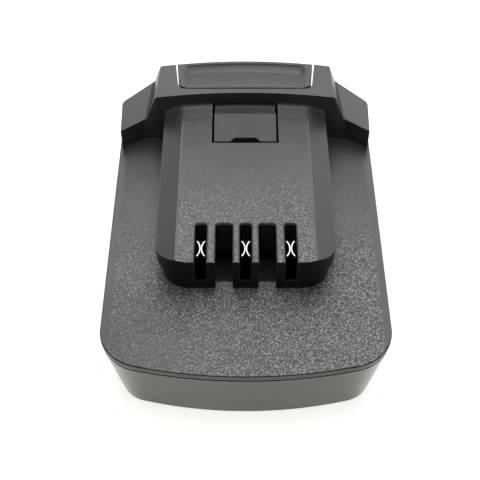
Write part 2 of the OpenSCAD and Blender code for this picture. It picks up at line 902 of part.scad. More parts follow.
// The bay with its rails left standing, and what opens from it
module bay_cuts() {
    rail_start = bay_front + carrier_d + blade_out;
    inner = bay_w / 2 - bay_rail_reach;
    lead = 4;
    difference() {
        middle_box(bay_w / 2, bay_front, rear_y + past, -past, bay_h);
        both_sides()
            translate([0, 0, -2 * past])
                linear_extrude(bay_rail_h + 2 * past)
                    polygon([
                        [bay_w / 2 + past, rail_start],
                        [inner, rail_start + bay_rail_reach],
                        [inner, rear_y - lead],
                        [inner + bay_rail_reach / 2, rear_y + 2 * past],
                        [bay_w / 2 + past, rear_y + 2 * past]
                    ]);
    }
    middle_box(
        pocket_w / 2, hook_tip + wall, hook_tip + wall + pocket_l,
        bay_h - past, bay_h + pocket_h
    );
    both_sides() {
        blade_sleeve(sleeve_fit, bay_front - wall - past, bay_front + past);
        translate([carrier_screw.x, bay_front + past, carrier_screw.y])
            rotate([90, 0, 0])
                cylinder(h = wall + 2 * past, d = small_screw_d + 2 * shank_fit);
        translate([board_screw.x, board_screw.y, bay_top - head_recess])
            cylinder(h = head_recess + past, d = small_head_d + 4 * head_room);
    }
}

// Sleeve round the right blade's root, grown by a clearance
module blade_sleeve(grow, y0, y1) {
    half = blade_t / 2 + sleeve_side + grow;
    over = sleeve_edge + grow;
    translate([blade_x - half, y0, blade_z - over])
        cube([2 * half, y1 - y0, blade_h + 2 * over]);
}

// Release latch

module release_latch() {
    apron_rear = apron_front + apron_t;
    hook_back = hook_tip + hook_ramp_l + hook_ridge_l;
    tip_drop = 0.2;
    edge_r = 0.4;
    color(latch_grey)
    difference() {
        union() {
            difference() {
                union() {
                    intersection() {
                        body_prism(pad_bottom, collar_top, collar_step, collar_step);
                        translate([0, 0, pad_bottom])
                            linear_extrude(pad_face_h)
                                pad_plan(0);
                    }
                    middle_box(flange_half, pad_front, apron_rear, flange_bottom, flange_top);
                }
                pad_hollow();
            }
            middle_box(pad_front_w / 2, apron_front, apron_rear, deck_z, pad_roof + past / 2);
            both_sides()
                translate([spring_x, spring_y, flange_bottom - latch_peg_l])
                    cylinder(h = latch_peg_l + past, r = spring_peg_r);
            along_x(hook_w)
                polygon(rounded(
                    [
                        [hook_tip, arm_bottom],
                        [hook_tip, block_top - tip_drop],
                        [hook_tip + hook_ramp_l, block_top + hook_rise],
                        [hook_back, block_top + hook_rise],
                        [hook_back + edge_r, arm_top],
                        [pad_front + past, arm_top],
                        [pad_front + past, arm_bottom]
                    ],
                    [0, edge_r, edge_r, edge_r, 0, 0, 0]
                ));
        }
        finger_scoop();
        hook_notch();
    }
}

// Thumb recess: a dish turned about the rear bow's centre, between two sloping sides
module finger_scoop() {
    low = collar_top - scoop_sink;
    above = collar_top + past;
    wall_r = rear_bow_r - collar_step - scoop_rear_lip;
    middle_r = wall_r - sqrt(pow(scoop_r, 2) - pow(scoop_r - scoop_sink, 2));
    front_r = pad_front - bow_y(rear_bow_r);
    rise = (scoop_sink - scoop_run_out) / (middle_r - front_r);
    side = pad_front_w / 2 - scoop_side_lip;
    lean = scoop_side_run / scoop_sink;
    sector = 30;
    intersection() {
        translate([0, bow_y(rear_bow_r), 0])
            rotate(90 - sector / 2)
                rotate_extrude(angle = sector, $fn = 360) {
                    translate([middle_r, low + scoop_r])
                        circle(scoop_r);
                    polygon([
                        [middle_r, low + past / 20],
                        [middle_r, above],
                        [front_r - past, above],
                        [front_r - past, collar_top - scoop_run_out + past * rise]
                    ]);
                }
        along_y(pad_front - 2 * past, rear_y + past)
            polygon(mirrored([
                [side - (scoop_sink + past) * lean, low - past],
                [side + past * lean, above]
            ]));
    }
}

// Room inside the pad, with a post left standing over each spring
module pad_hollow() {
    half = pad_front_w / 2 - wall;
    rear = rear_y - collar_step - wall - pow(half, 2) / (2 * rear_bow_r);
    difference() {
        middle_box(half, pad_front + wall, rear, deck_z - past, pad_roof);
        both_sides()
            translate([spring_x, spring_y, flange_bottom])
                cylinder(h = pad_roof + past - flange_bottom, d = spring_d + 2);
    }
}

module hook_notch() {
    half = hook_w * 0.25;
    translate([0, hook_tip, arm_bottom - past])
        linear_extrude(arm_t + hook_rise + 2 * past)
            polygon(mirrored([[half, -past], [half, 0], [half - hook_notch_l, hook_notch_l]]));
}

// Spring wire as one tube, sides and rings counted along the helix
module latch_spring() {
    sides = 6;
    rings_per_turn = 12;
    rings = spring_turns * rings_per_turn;
    wire_r = spring_wire / 2;
    end_gap = 0.02;
    low = spring_low + wire_r + end_gap;
    rise = spring_high - spring_low - spring_wire - 2 * end_gap;
    points = [
        for (i = [0:rings], k = [0:sides - 1])
            let (
                a = 360 * i / rings_per_turn,
                b = 360 * k / sides,
                reach = spring_r + wire_r * cos(b)
            )
            [reach * cos(a), reach * sin(a), low + rise * i / rings + wire_r * sin(b)]
    ];
    walls = [
        for (i = [0:rings - 1], k = [0:sides - 1])
            let (n = (k + 1) % sides)
            [i * sides + k, i * sides + n, (i + 1) * sides + n, (i + 1) * sides + k]
    ];
    first = [for (k = [sides - 1:-1:0]) k];
    last = [for (k = [0:sides - 1]) rings * sides + k];
    polyhedron(points, concat([first], [for (w = walls) [w[3], w[2], w[1], w[0]]], [last]));
}

module latch_spring_left() {
    color(metal) translate([-spring_x, spring_y, 0]) latch_spring();
}

module latch_spring_right() {
    color(metal) translate([spring_x, spring_y, 0]) latch_spring();
}

// Spring contacts

// One leaf bowed toward the middle of its slot
module leaf(h) {
    near = (leaf_gap + leaf_t) / 2;
    bulge = leaf_spread / 2 - leaf_t / 2 - near;
    bend_r = (pow(leaf_l / 2, 2) + pow(bulge, 2)) / (2 * bulge);
    linear_extrude(h)
        intersection() {
            translate([near + bend_r, 0])
                difference() {
                    circle(bend_r + leaf_t / 2);
                    circle(bend_r - leaf_t / 2);
                }
            translate([0, -leaf_l / 2])
                square([leaf_spread / 2, leaf_l]);
        }
}

module contact_clip() {
    foot_t = 0.8;
    leg_w = 0.8;
    translate([-leaf_spread / 2, -leaf_l / 2, under_z])
        cube([leaf_spread, leaf_l, foot_t]);
    translate([0, 0, under_z + foot_t])
        both_sides() leaf(block_top - leaf_sink - under_z - foot_t);
    for (side = [-1, 1])
        translate([-leg_w / 2, side * clip_leg_y - leg_w / 2, board_z])
            cube([leg_w, leg_w, board_t + foot_t]);
}

module positive_clip() {
    color(metal) translate([-contact_pitch, slot_mid, 0]) contact_clip();
}

module signal_clip() {
    color(metal) translate([0, slot_mid, 0]) contact_clip();
}

module negative_clip() {
    color(metal) translate([contact_pitch, slot_mid, 0]) contact_clip();
}

// Leg places of all three contacts, for the board's holes and the solder
module at_clip_legs() {
    for (i = [-1:1], side = [-1, 1])
        translate([i * contact_pitch, slot_mid + side * clip_leg_y, 0])
            children();
}

// Board

module contact_board() {
    rear = slot_rear + wall;
    front = block_front - board_ahead;
    leg_hole = 1.1;
    color("#2f6b3c")
    difference() {
        middle_box(board_w / 2, front, rear, board_z, under_z);
        at_clip_legs()
            translate([-leg_hole / 2, -leg_hole / 2, board_z - past])
                cube([leg_hole, leg_hole, board_t + 2 * past]);
        both_sides()
            translate([board_screw.x, board_screw.y, board_z - past])
                cylinder(h = board_t + 2 * past, d = small_screw_d + 2 * shank_fit);
    }
}

module id_resistor() {
    size = [3.2, 1.6, 0.6];
    ahead = 3.5;
    color("#22262b")
        translate([0, block_front - ahead, board_z - size.z / 2])
            cube(size, center = true);
}

module contact_board_screws() {
    color(metal)
        both_sides()
            translate([board_screw.x, board_screw.y, board_z])
                screw(small_screw_d, small_screw_l, small_head_d, small_head_h);
}

// Blades

module blade_carrier() {
    blade_fit = 0.05;
    web = 4;
    screw_floor = 1;
    color("#d8c9a4")
    difference() {
        union() {
            middle_box(carrier_w / 2, bay_front, bay_front + carrier_d, carrier_bottom, bay_h);
            both_sides()
                blade_sleeve(0, bay_front - wall, bay_front + past);
        }
        both_sides() {
            translate([blade_x - blade_t / 2 - blade_fit, bay_front - wall - past, blade_z - blade_fit])
                cube([blade_t + 2 * blade_fit, wall + carrier_d + 2 * past, blade_h + 2 * blade_fit]);
            translate([carrier_screw.x, bay_front + carrier_d - screw_floor, carrier_screw.y])
                rotate([90, 0, 0])
                    cylinder(h = carrier_d, d = small_screw_d + 2 * thread_fit);
        }
        middle_box(
            blade_x - web, bay_front + wall, bay_front + carrier_d + past,
            carrier_bottom - past, bay_h - wall
        );
    }
}

module power_blade() {
    tip = 1.2;
    y0 = tail_front;
    y1 = bay_front + carrier_d + blade_out;
    along_x(blade_t)
        polygon([
            [y0, blade_z],
            [y1 - tip, blade_z],
            [y1, blade_z + tip],
            [y1, blade_z + blade_h - tip],
            [y1 - tip, blade_z + blade_h],
            [y0, blade_z + blade_h]
        ]);
}

module positive_blade() {
    color(metal) translate([-blade_x, 0, 0]) power_blade();
}

module negative_blade() {
    color(metal) translate([blade_x, 0, 0]) power_blade();
}

module blade_carrier_screws() {
    color(metal)
        both_sides()
            translate([carrier_screw.x, bay_front - wall, carrier_screw.y])
                rotate([-90, 0, 0])
                    screw(small_screw_d, small_screw_l, small_head_d, small_head_h);
}

// Wires

// Down from the board, forward, round a half turn and back to a blade's tail
module power_wire() {
    drop = board_z - solder_h - wire_z - wire_bend_r;
    run_y = wire_y - wire_bend_r;
    translate([wire_pad_x, wire_y, wire_z + wire_bend_r])
        cylinder(h = drop, d = wire_d);
    translate([wire_pad_x, run_y, wire_z + wire_bend_r])
        rotate([90, 0, 90])
            rotate_extrude(angle = -90)
                translate([wire_bend_r, 0]) circle(d = wire_d, $fn = 32);
    translate([wire_pad_x, run_y, wire_z])
        rotate([90, 0, 0])
            cylinder(h = run_y - wire_turn_y, d = wire_d);
    translate([wire_pad_x + wire_loop_r, wire_turn_y, wire_z])
        rotate(180)
            rotate_extrude(angle = 180)
                translate([wire_loop_r, 0]) circle(d = wire_d, $fn = 32);
    translate([blade_x, tail_front - solder_h, wire_z])
        rotate([90, 0, 0])
            cylinder(h = tail_front - solder_h - wire_turn_y, d = wire_d);
}

module positive_wire() {
    color("#a83232") mirror([1, 0, 0]) power_wire();
}

module negative_wire() {
    color("#20242a") power_wire();
}

module clip_solder() {
    color(metal)
        at_clip_legs()
            translate([0, 0, board_z - solder_h])
                cylinder(h = solder_h, r1 = solder_r, r2 = solder_r + solder_h);
}

module lead_solder() {
    color(metal)
        both_sides() {
            translate([wire_pad_x, wire_y, board_z - solder_h])
                cylinder(h = solder_h, r1 = wire_d / 2, r2 = wire_d / 2 + solder_h);
            translate([blade_x, tail_front, wire_z])
                rotate([90, 0, 0])
                    cylinder(h = solder_h, d = wire_d);
        }
}

module case_screws() {
    color(metal)
        both_sides() {
            translate([front_screw.x, front_screw.y, front_seat])
                screw(case_screw_d, case_screw_l, case_head_d, case_head_h);
            translate([rear_screw.x, rear_screw.y, rear_seat])
                screw(case_screw_d, case_screw_l, case_head_d, case_head_h);
        }
}

upper_housing();
lower_housing();
release_latch();
latch_spring_left();
latch_spring_right();
positive_clip();
signal_clip();
negative_clip();
contact_board();
id_resistor();
contact_board_screws();
blade_carrier();
positive_blade();
negative_blade();
blade_carrier_screws();
positive_wire();
negative_wire();
clip_solder();
lead_solder();
case_screws();
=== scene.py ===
import bpy
import bmesh
import math
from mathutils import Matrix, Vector


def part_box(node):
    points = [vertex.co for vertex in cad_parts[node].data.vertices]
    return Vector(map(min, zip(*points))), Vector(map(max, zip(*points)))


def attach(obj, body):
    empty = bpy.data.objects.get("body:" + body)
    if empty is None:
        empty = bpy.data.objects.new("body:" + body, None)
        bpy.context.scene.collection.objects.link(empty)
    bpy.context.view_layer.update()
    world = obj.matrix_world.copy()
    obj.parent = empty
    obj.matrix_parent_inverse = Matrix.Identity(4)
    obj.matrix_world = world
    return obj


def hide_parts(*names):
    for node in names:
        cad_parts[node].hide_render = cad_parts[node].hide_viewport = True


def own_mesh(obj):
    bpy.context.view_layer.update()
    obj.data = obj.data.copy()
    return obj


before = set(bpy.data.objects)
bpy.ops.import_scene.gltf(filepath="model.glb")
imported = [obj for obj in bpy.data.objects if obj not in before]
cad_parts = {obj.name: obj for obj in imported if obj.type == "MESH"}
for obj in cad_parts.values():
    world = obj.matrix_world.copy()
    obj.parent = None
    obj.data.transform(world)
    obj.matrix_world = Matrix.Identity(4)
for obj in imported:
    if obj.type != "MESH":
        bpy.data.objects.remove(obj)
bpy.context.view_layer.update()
scene = bpy.context.scene
mm = 0.001
print("frame loaded:", len(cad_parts), "nodes")


# camera at the photograph's angle
cameraSet = {
    "place": (-0.00153, -0.192, 0.2276),
    "down": 48.67,                     # degrees below the horizon
    "lens": 75.0,
}


def makeCamera(spec):
    data = bpy.data.cameras.new("productCamera")
    camera = bpy.data.objects.new("productCamera", data)
    scene.collection.objects.link(camera)
    data.sensor_width = 36.0
    data.lens = spec["lens"]
    data.clip_start = 0.01
    camera.location = spec["place"]
    camera.rotation_euler = (math.radians(90.0 - spec["down"]), 0.0, 0.0)
    scene.camera = camera


makeCamera(cameraSet)
print("camera set")


# node helpers: place a node, set its sockets, join it up
def addNode(tree, kind, at=(0, 0), **values):
    node = tree.nodes.new(kind)
    node.location = (at[0] * 200, at[1] * 160)
    for key, value in values.items():
        if hasattr(node, key) and key not in node.inputs:
            setattr(node, key, value)
        else:
            node.inputs[key].default_value = value
    return node


def mathNode(tree, operation, first, second, at=(0, 0), clamp=False):
    node = tree.nodes.new("ShaderNodeMath")
    node.operation = operation
    node.use_clamp = clamp
    node.location = (at[0] * 200, at[1] * 160)
    for index, value in enumerate((first, second)):
        if value is None:
            continue
        if isinstance(value, (int, float)):
            node.inputs[index].default_value = value
        else:
            tree.links.new(value, node.inputs[index])
    return node.outputs[0]


def rampNode(tree, value, low, high, outLow=0.0, outHigh=1.0, at=(0, 0)):
    node = tree.nodes.new("ShaderNodeMapRange")
    node.interpolation_type = "SMOOTHSTEP"
    node.location = (at[0] * 200, at[1] * 160)
    for name, number in (("From Min", low), ("From Max", high), ("To Min", outLow), ("To Max", outHigh)):
        node.inputs[name].default_value = number
    tree.links.new(value, node.inputs["Value"])
    return node.outputs["Result"]


def newGroup(name, inputs, outputs):
    group = bpy.data.node_groups.new(name, "ShaderNodeTree")
    for socketName, kind, value in inputs:
        socket = group.interface.new_socket(socketName, in_out="INPUT", socket_type=kind)
        if value is not None:
            socket.default_value = value
    for socketName, kind in outputs:
        group.interface.new_socket(socketName, in_out="OUTPUT", socket_type=kind)
    start = group.nodes.new("NodeGroupInput")
    end = group.nodes.new("NodeGroupOutput")
    start.location, end.location = (-900, 0), (900, 0)
    return group, start, end


# spark-eroded mould grain: fine bright specks as painted glints, dark pits as painted shade, and the height for a
# bump
def makeSparkGrain():
    group, start, end = newGroup(
        "sparkGrain",
        [("Vector", "NodeSocketVector", None), ("Scale", "NodeSocketFloat", 2600.0),
         ("Density", "NodeSocketFloat", 0.3), ("Pitting", "NodeSocketFloat", 0.3)],
        [("Glint", "NodeSocketFloat"), ("PitShade", "NodeSocketFloat"), ("Height", "NodeSocketFloat")],
    )
    link = group.links.new
    cells = addNode(group, "ShaderNodeTexVoronoi", (-3, 1), Randomness=1.0)
    link(start.outputs["Vector"], cells.inputs["Vector"])
    link(start.outputs["Scale"], cells.inputs["Scale"])
    split = addNode(group, "ShaderNodeSeparateColor", (-2, 2))
    link(cells.outputs["Color"], split.inputs["Color"])
    near = rampNode(group, cells.outputs["Distance"], 0.62, 0.3, at=(-2, 1))
    keep = mathNode(group, "SUBTRACT", 1.0, start.outputs["Density"], at=(-2, 3))
    chosen = mathNode(group, "GREATER_THAN", split.outputs["Red"], keep, at=(-1, 2))
    power = mathNode(group, "MULTIPLY", chosen, split.outputs["Green"], at=(0, 2))
    link(mathNode(group, "MULTIPLY", power, near, at=(1, 2)), end.inputs["Glint"])
    shadeMask = mathNode(group, "LESS_THAN", split.outputs["Red"], start.outputs["Pitting"], at=(-1, 0))
    link(mathNode(group, "MULTIPLY", shadeMask, near, at=(0, 0)), end.inputs["PitShade"])
    rough = addNode(group, "ShaderNodeTexNoise", (-3, -1), Detail=2.0, Roughness=0.6)
    link(start.outputs["Vector"], rough.inputs["Vector"])
    link(start.outputs["Scale"], rough.inputs["Scale"])
    half = mathNode(group, "MULTIPLY", split.outputs["Blue"], 0.5, at=(-1, -1))
    link(mathNode(group, "ADD", rough.outputs["Fac"], half, at=(0, -1)), end.inputs["Height"])
    return group


# rubbed edges with a painted highlight: the bevelled strips, broken up by two noises
def makeEdgeRubAndHighlight():
    group, start, end = newGroup(
        "edgeRubAndHighlight",
        [("Vector", "NodeSocketVector", None), ("Amount", "NodeSocketFloat", 0.5)],
        [("Mask", "NodeSocketFloat")],
    )
    link = group.links.new
    strip = addNode(group, "ShaderNodeAttribute", (-3, 1), attribute_name="edgeBand")
    broad = addNode(group, "ShaderNodeTexNoise", (-3, 0), Scale=90.0, Detail=3.0)
    fine = addNode(group, "ShaderNodeTexNoise", (-3, -1), Scale=900.0, Detail=2.0)
    for noise in (broad, fine):
        link(start.outputs["Vector"], noise.inputs["Vector"])
    mixed = mathNode(group, "MULTIPLY", broad.outputs["Fac"], fine.outputs["Fac"], at=(-2, 0))
    broken = rampNode(group, mixed, 0.15, 0.4, 0.25, 1.0, at=(-1, 0))
    worn = mathNode(group, "MULTIPLY", strip.outputs["Fac"], broken, at=(0, 0))
    link(mathNode(group, "MULTIPLY", worn, start.outputs["Amount"], at=(1, 0)), end.inputs["Mask"])
    return group


# handling: broad smears that change the gloss, and fine dust on what faces up
def makeHandling():
    group, start, end = newGroup(
        "handling",
        [("Vector", "NodeSocketVector", None), ("Scale", "NodeSocketFloat", 35.0)],
        [("Smear", "NodeSocketFloat"), ("Dust", "NodeSocketFloat")],
    )
    link = group.links.new
    smear = addNode(group, "ShaderNodeTexNoise", (-3, 1), Detail=5.0, Roughness=0.6, Distortion=0.4)
    link(start.outputs["Vector"], smear.inputs["Vector"])
    link(start.outputs["Scale"], smear.inputs["Scale"])
    link(rampNode(group, smear.outputs["Fac"], 0.3, 0.7, at=(-2, 1)), end.inputs["Smear"])
    motes = addNode(group, "ShaderNodeTexVoronoi", (-3, -1), Scale=420.0)
    link(start.outputs["Vector"], motes.inputs["Vector"])
    split = addNode(group, "ShaderNodeSeparateColor", (-2, -2))
    link(motes.outputs["Color"], split.inputs["Color"])
    few = mathNode(group, "GREATER_THAN", split.outputs["Red"], 0.93, at=(-1, -2))
    spot = rampNode(group, motes.outputs["Distance"], 0.16, 0.05, at=(-2, -1))
    facing = addNode(group, "ShaderNodeNewGeometry", (-3, -3))
    axes = addNode(group, "ShaderNodeSeparateXYZ", (-2, -3))
    link(facing.outputs["Normal"], axes.inputs["Vector"])
    upward = rampNode(group, axes.outputs["Z"], 0.5, 0.9, at=(-1, -3))
    lying = mathNode(group, "MULTIPLY", few, spot, at=(0, -2))
    link(mathNode(group, "MULTIPLY", lying, upward, at=(1, -2)), end.inputs["Dust"])
    return group


sparkGrain = makeSparkGrain()
edgeRubAndHighlight = makeEdgeRubAndHighlight()
handling = makeHandling()
print("shader groups made")


def newMaterial(name):
    material = bpy.data.materials.new(name)
    material.use_nodes = True
    tree = material.node_tree
    shader = tree.nodes["Principled BSDF"]
    shader.location = (800, 0)
    place = addNode(tree, "ShaderNodeTexCoord", (-6, 0))
    return material, tree, shader, place.outputs["Object"]


def groupNode(tree, group, vector, at, **values):
    node = tree.nodes.new("ShaderNodeGroup")
    node.node_tree = group
    node.location = (at[0] * 200, at[1] * 160)
    for key, value in values.items():
        if isinstance(value, (int, float)):
            node.inputs[key].default_value = value
        else:
            tree.links.new(value, node.inputs[key])
    tree.links.new(vector, node.inputs["Vector"])
    return node


def mixColour(tree, factor, first, second, at=(0, 0)):
    node = tree.nodes.new("ShaderNodeMix")
    node.data_type = "RGBA"
    node.location = (at[0] * 200, at[1] * 160)
    tree.links.new(factor, node.inputs["Factor"])
    for name, value in (("A", first), ("B", second)):
        socket = [s for s in node.inputs if s.name == name and s.type == "RGBA"][0]
        if isinstance(value, tuple):
            socket.default_value = (*value, 1.0)
        else:
            tree.links.new(value, socket)
    return [s for s in node.outputs if s.type == "RGBA"][0]


def bumpNode(tree, shader, height, strength, distance, at=(2, -2)):
    node = addNode(tree, "ShaderNodeBump", at, Strength=strength, Distance=distance)
    tree.links.new(height, node.inputs["Height"])
    tree.links.new(node.outputs["Normal"], shader.inputs["Normal"])


# moulded plastic: satin all over, spark grain on the deck and on the tongue's flat top
plasticSet = {
    # speck colours are painted glints of the grain, pit colours painted shade in its pits
    "housing": {
        "tone": (0.034, 0.034, 0.034), "speck": (0.80, 0.80, 0.80), "pitShade": (0.004, 0.004, 0.004),
        "rubAndHighlight": (0.13, 0.13, 0.13), "rough": 0.35, "specular": 0.84, "specks": 0.54, "pits": 0.30,
        "grained": True, "grainTone": (0.060, 0.060, 0.060),
    },
    "skirt": {
        # the skirt's lighter, warmer tone and its lighter corner tone are painted reflection of the pale floor
        "tone": (0.058, 0.056, 0.046), "speck": (0.12, 0.12, 0.12), "pitShade": (0.020, 0.020, 0.020),
        "rubAndHighlight": (0.22, 0.22, 0.21), "rough": 0.36, "specular": 1.0, "specks": 0.42, "pits": 0.42,
        "grained": False, "cornerReflectionTone": (0.085, 0.084, 0.074), "cornerFrom": (22.0 * mm, 36.0 * mm),
        "coat": (0.2, 0.9), "coatRough": 0.25,
    },
    "latch": {
        "tone": (0.034, 0.034, 0.034), "speck": (0.12, 0.12, 0.12), "pitShade": (0.012, 0.012, 0.012),
        "rubAndHighlight": (0.10, 0.10, 0.10), "rough": 0.35, "specular": 0.84, "specks": 0.42, "pits": 0.42,
        "grained": False, "duller": 0.13, "dullFrom": (38.0 * mm, 35.0 * mm),
    },
}

# what all three plastics share: smears, rubbed edges with a painted highlight, dust and the fine moulded skin
skinSet = {
    "smearScale": 38.0, "rubAndHighlightAmount": 0.8, "swing": (-0.03, 0.05), "dustRough": 0.3,
    "cloudScale": 60.0, "faint": 0.15, "faintMatte": 0.2,      # the ungrained plastics keep a trace of grain
    "fineScale": 5200.0, "fineLift": 0.12, "bump": (0.5, 0.09 * mm),
}

# where the grain lies and how it thins out; each ramp is from, to, least, most
grainSet = {
    "scale": 3900.0,
    "fields": ((17.0 * mm, 36.3 * mm), (28.2 * mm, 18.7 * mm)),    # height and half width: deck, tongue's top
    "within": 0.06 * mm, "margin": 0.8 * mm,
    "toRear": (18.0 * mm, -20.0 * mm, 0.02, 1.0),
    "toLeft": (-36.0 * mm, -14.0 * mm, 0.6, 1.0),
    "patches": (0.36, 0.56, 0.7, 1.0), "patchScale": 42.0,
    "rubbed": (5.0 * mm, 17.0 * mm, 0.55, 1.0),
    "rubbedAt": (-27.0 * mm, -43.0 * mm, 17.0 * mm),               # a patch worn smoother, front left
    "matte": (4.0 * mm, 24.0 * mm, 0.06, 0.14),                    # duller toward the bridge
}

# painted shade on the tongue's front wall: which way it faces, how far forward, above which height
frontWallShadeSet = {"facing": (-0.2, -0.5), "ahead": (-10.0 * mm, -14.0 * mm, 0.0, 0.68), "above": 17.0 * mm}


# flat faces at the two grained heights, inside their side margins
def grainField(tree, axes):
    aside = mathNode(tree, "ABSOLUTE", axes.outputs["X"], None, at=(-5, 4))
    bands = []
    for row, (height, half) in zip((4, 6), grainSet["fields"]):
        off = mathNode(tree, "SUBTRACT", axes.outputs["Z"], height, at=(-4, row))
        gap = mathNode(tree, "ABSOLUTE", off, None, at=(-3, row))
        level = mathNode(tree, "LESS_THAN", gap, grainSet["within"], at=(-2, row))
        inside = rampNode(tree, aside, half, half - grainSet["margin"], at=(-2, row + 1))
        bands.append(mathNode(tree, "MULTIPLY", level, inside, at=(-1, row)))
    return mathNode(tree, "MAXIMUM", *bands, at=(0, 5))


# the grain thins out toward the rear and the left, in patches, and where it is worn
def thinGrain(tree, axes, place, field):
    drift = addNode(tree, "ShaderNodeTexNoise", (-5, 8), Scale=grainSet["patchScale"], Detail=3.0)
    tree.links.new(place, drift.inputs["Vector"])
    away = addNode(tree, "ShaderNodeVectorMath", (-5, 11), operation="DISTANCE")
    away.inputs[1].default_value = grainSet["rubbedAt"]
    tree.links.new(place, away.inputs[0])
    shares = (
        rampNode(tree, axes.outputs["Y"], *grainSet["toRear"], at=(-4, 8)),
        rampNode(tree, drift.outputs["Fac"], *grainSet["patches"], at=(-4, 9)),
        rampNode(tree, axes.outputs["X"], *grainSet["toLeft"], at=(-4, 10)),
        rampNode(tree, away.outputs["Value"], *grainSet["rubbed"], at=(-4, 11)),
    )
    for column, share in enumerate(shares):
        field = mathNode(tree, "MULTIPLY", field, share, at=(column - 2, 8))
    return field


# faces given painted shade: the tongue's front wall, and the lines marked on the mesh
def paintedShadeFaces(tree, axes):
    facing = addNode(tree, "ShaderNodeNewGeometry", (-5, 13))
    tilt = addNode(tree, "ShaderNodeSeparateXYZ", (-4, 13))
    tree.links.new(facing.outputs["Normal"], tilt.inputs["Vector"])
    wall = rampNode(tree, tilt.outputs["Y"], *frontWallShadeSet["facing"], at=(-3, 13))
    ahead = rampNode(tree, axes.outputs["Y"], *frontWallShadeSet["ahead"], at=(-3, 14))
    raised = mathNode(tree, "GREATER_THAN", axes.outputs["Z"], frontWallShadeSet["above"], at=(-3, 15))
    front = mathNode(tree, "MULTIPLY", wall, ahead, at=(-2, 13))
    front = mathNode(tree, "MULTIPLY", front, raised, at=(-1, 13))
    marked = addNode(tree, "ShaderNodeAttribute", (-3, 16), attribute_name="shadeLine")
    return mathNode(tree, "MAXIMUM", front, marked.outputs["Fac"], at=(0, 13))


def makePlastic(name, spec):
    material, tree, shader, place = newMaterial(name)
    link = tree.links.new
    axes = addNode(tree, "ShaderNodeSeparateXYZ", (-5, 2))
    link(place, axes.inputs["Vector"])
    smears = groupNode(tree, handling, place, (-3, -2), Scale=skinSet["smearScale"])
    rubAndHighlight = groupNode(tree, edgeRubAndHighlight, place, (-3, -4), Amount=skinSet["rubAndHighlightAmount"])
    if spec["grained"]:
        field = grainField(tree, axes)
        strength = thinGrain(tree, axes, place, field)
        toBridge = rampNode(tree, axes.outputs["Y"], *grainSet["matte"], at=(0, 7))
        matte = mathNode(tree, "MULTIPLY", field, toBridge, at=(1, 7))
    else:
        cloud = addNode(tree, "ShaderNodeTexNoise", (-5, 8), Scale=skinSet["cloudScale"])
        strength = mathNode(tree, "MULTIPLY", cloud.outputs["Fac"], skinSet["faint"], at=(1, 6))
        matte = mathNode(tree, "MULTIPLY", strength, skinSet["faintMatte"], at=(1, 7))
    if "duller" in spec:
        dull = rampNode(tree, axes.outputs["Y"], *spec["dullFrom"], 0.0, spec["duller"], at=(0, 8))
        matte = mathNode(tree, "ADD", matte, dull, at=(1, 8))
    grain = groupNode(tree, sparkGrain, place, (-3, 1), Scale=grainSet["scale"],
                      Density=spec["specks"], Pitting=spec["pits"])
    # painted glints from the bright specks, painted shade from the dark pits
    glintMask = mathNode(tree, "MULTIPLY", grain.outputs["Glint"], strength, at=(1, 3))
    shadeMask = mathNode(tree, "MULTIPLY", grain.outputs["PitShade"], strength, at=(1, 2))
    if spec["grained"]:
        shadeMask = mathNode(tree, "MAXIMUM", shadeMask, paintedShadeFaces(tree, axes), at=(1, 1))
    # painted shade: the pits, the tongue's front wall and the marked lines go metallic with a near-black tone, which
    # takes their sheen away
    link(shadeMask, shader.inputs["Metallic"])     # with the near-black pit tone this takes the sheen away

    base = spec["tone"]
    if spec["grained"]:
        base = mixColour(tree, strength, base, spec["grainTone"], (1, 4))
    if "cornerReflectionTone" in spec:
        # painted reflection: the skirt's corners toned lighter
        sideways = mathNode(tree, "ABSOLUTE", axes.outputs["X"], None, at=(-1, 5))
        corner = rampNode(tree, sideways, *spec["cornerFrom"], at=(0, 5))
        base = mixColour(tree, corner, base, spec["cornerReflectionTone"], (1, 5))
        link(rampNode(tree, corner, 0.0, 1.0, *spec["coat"], at=(1, -3)), shader.inputs["Coat Weight"])
        shader.inputs["Coat Roughness"].default_value = spec["coatRough"]
    colour = mixColour(tree, glintMask, base, spec["speck"], (2, 3))
    colour = mixColour(tree, shadeMask, colour, spec["pitShade"], (3, 3))
    # wear and painted highlight along the bevelled edges
    colour = mixColour(tree, rubAndHighlight.outputs["Mask"], colour, spec["rubAndHighlight"], (4, 3))
    link(colour, shader.inputs["Base Color"])

    glossLow, glossHigh = (spec["rough"] + swing for swing in skinSet["swing"])
    gloss = rampNode(tree, smears.outputs["Smear"], 0.0, 1.0, glossLow, glossHigh, at=(-1, -2))
    dusty = mathNode(tree, "MULTIPLY", smears.outputs["Dust"], skinSet["dustRough"], at=(-1, -3))
    gloss = mathNode(tree, "ADD", gloss, dusty, at=(0, -2))
    gloss = mathNode(tree, "ADD", gloss, matte, at=(1, -2), clamp=True)
    link(gloss, shader.inputs["Roughness"])
    shader.inputs["Specular IOR Level"].default_value = spec["specular"]

    fine = addNode(tree, "ShaderNodeTexNoise", (-3, -6), Scale=skinSet["fineScale"], Detail=1.0)
    link(place, fine.inputs["Vector"])
    lift = mathNode(tree, "MULTIPLY", grain.outputs["Height"], strength, at=(0, 0))
    skin = mathNode(tree, "MULTIPLY", fine.outputs["Fac"], skinSet["fineLift"], at=(0, -5))
    bumpNode(tree, shader, mathNode(tree, "ADD", lift, skin, at=(1, -4)), *skinSet["bump"])
    return material


housingPlastic = makePlastic("housingPlastic", plasticSet["housing"])
skirtPlasticWithFloorReflection = makePlastic("skirtPlasticWithFloorReflection", plasticSet["skirt"])
latchPlastic = makePlastic("latchPlastic", plasticSet["latch"])
print("plastics made")


# roughness that a mask swings below and above its middle value
def swingRough(tree, shader, mask, rough, swing, span=(0.0, 1.0)):
    value = rampNode(tree, mask, *span, rough + swing[0], rough + swing[1], at=(0, -1))
    tree.links.new(value, shader.inputs["Roughness"])
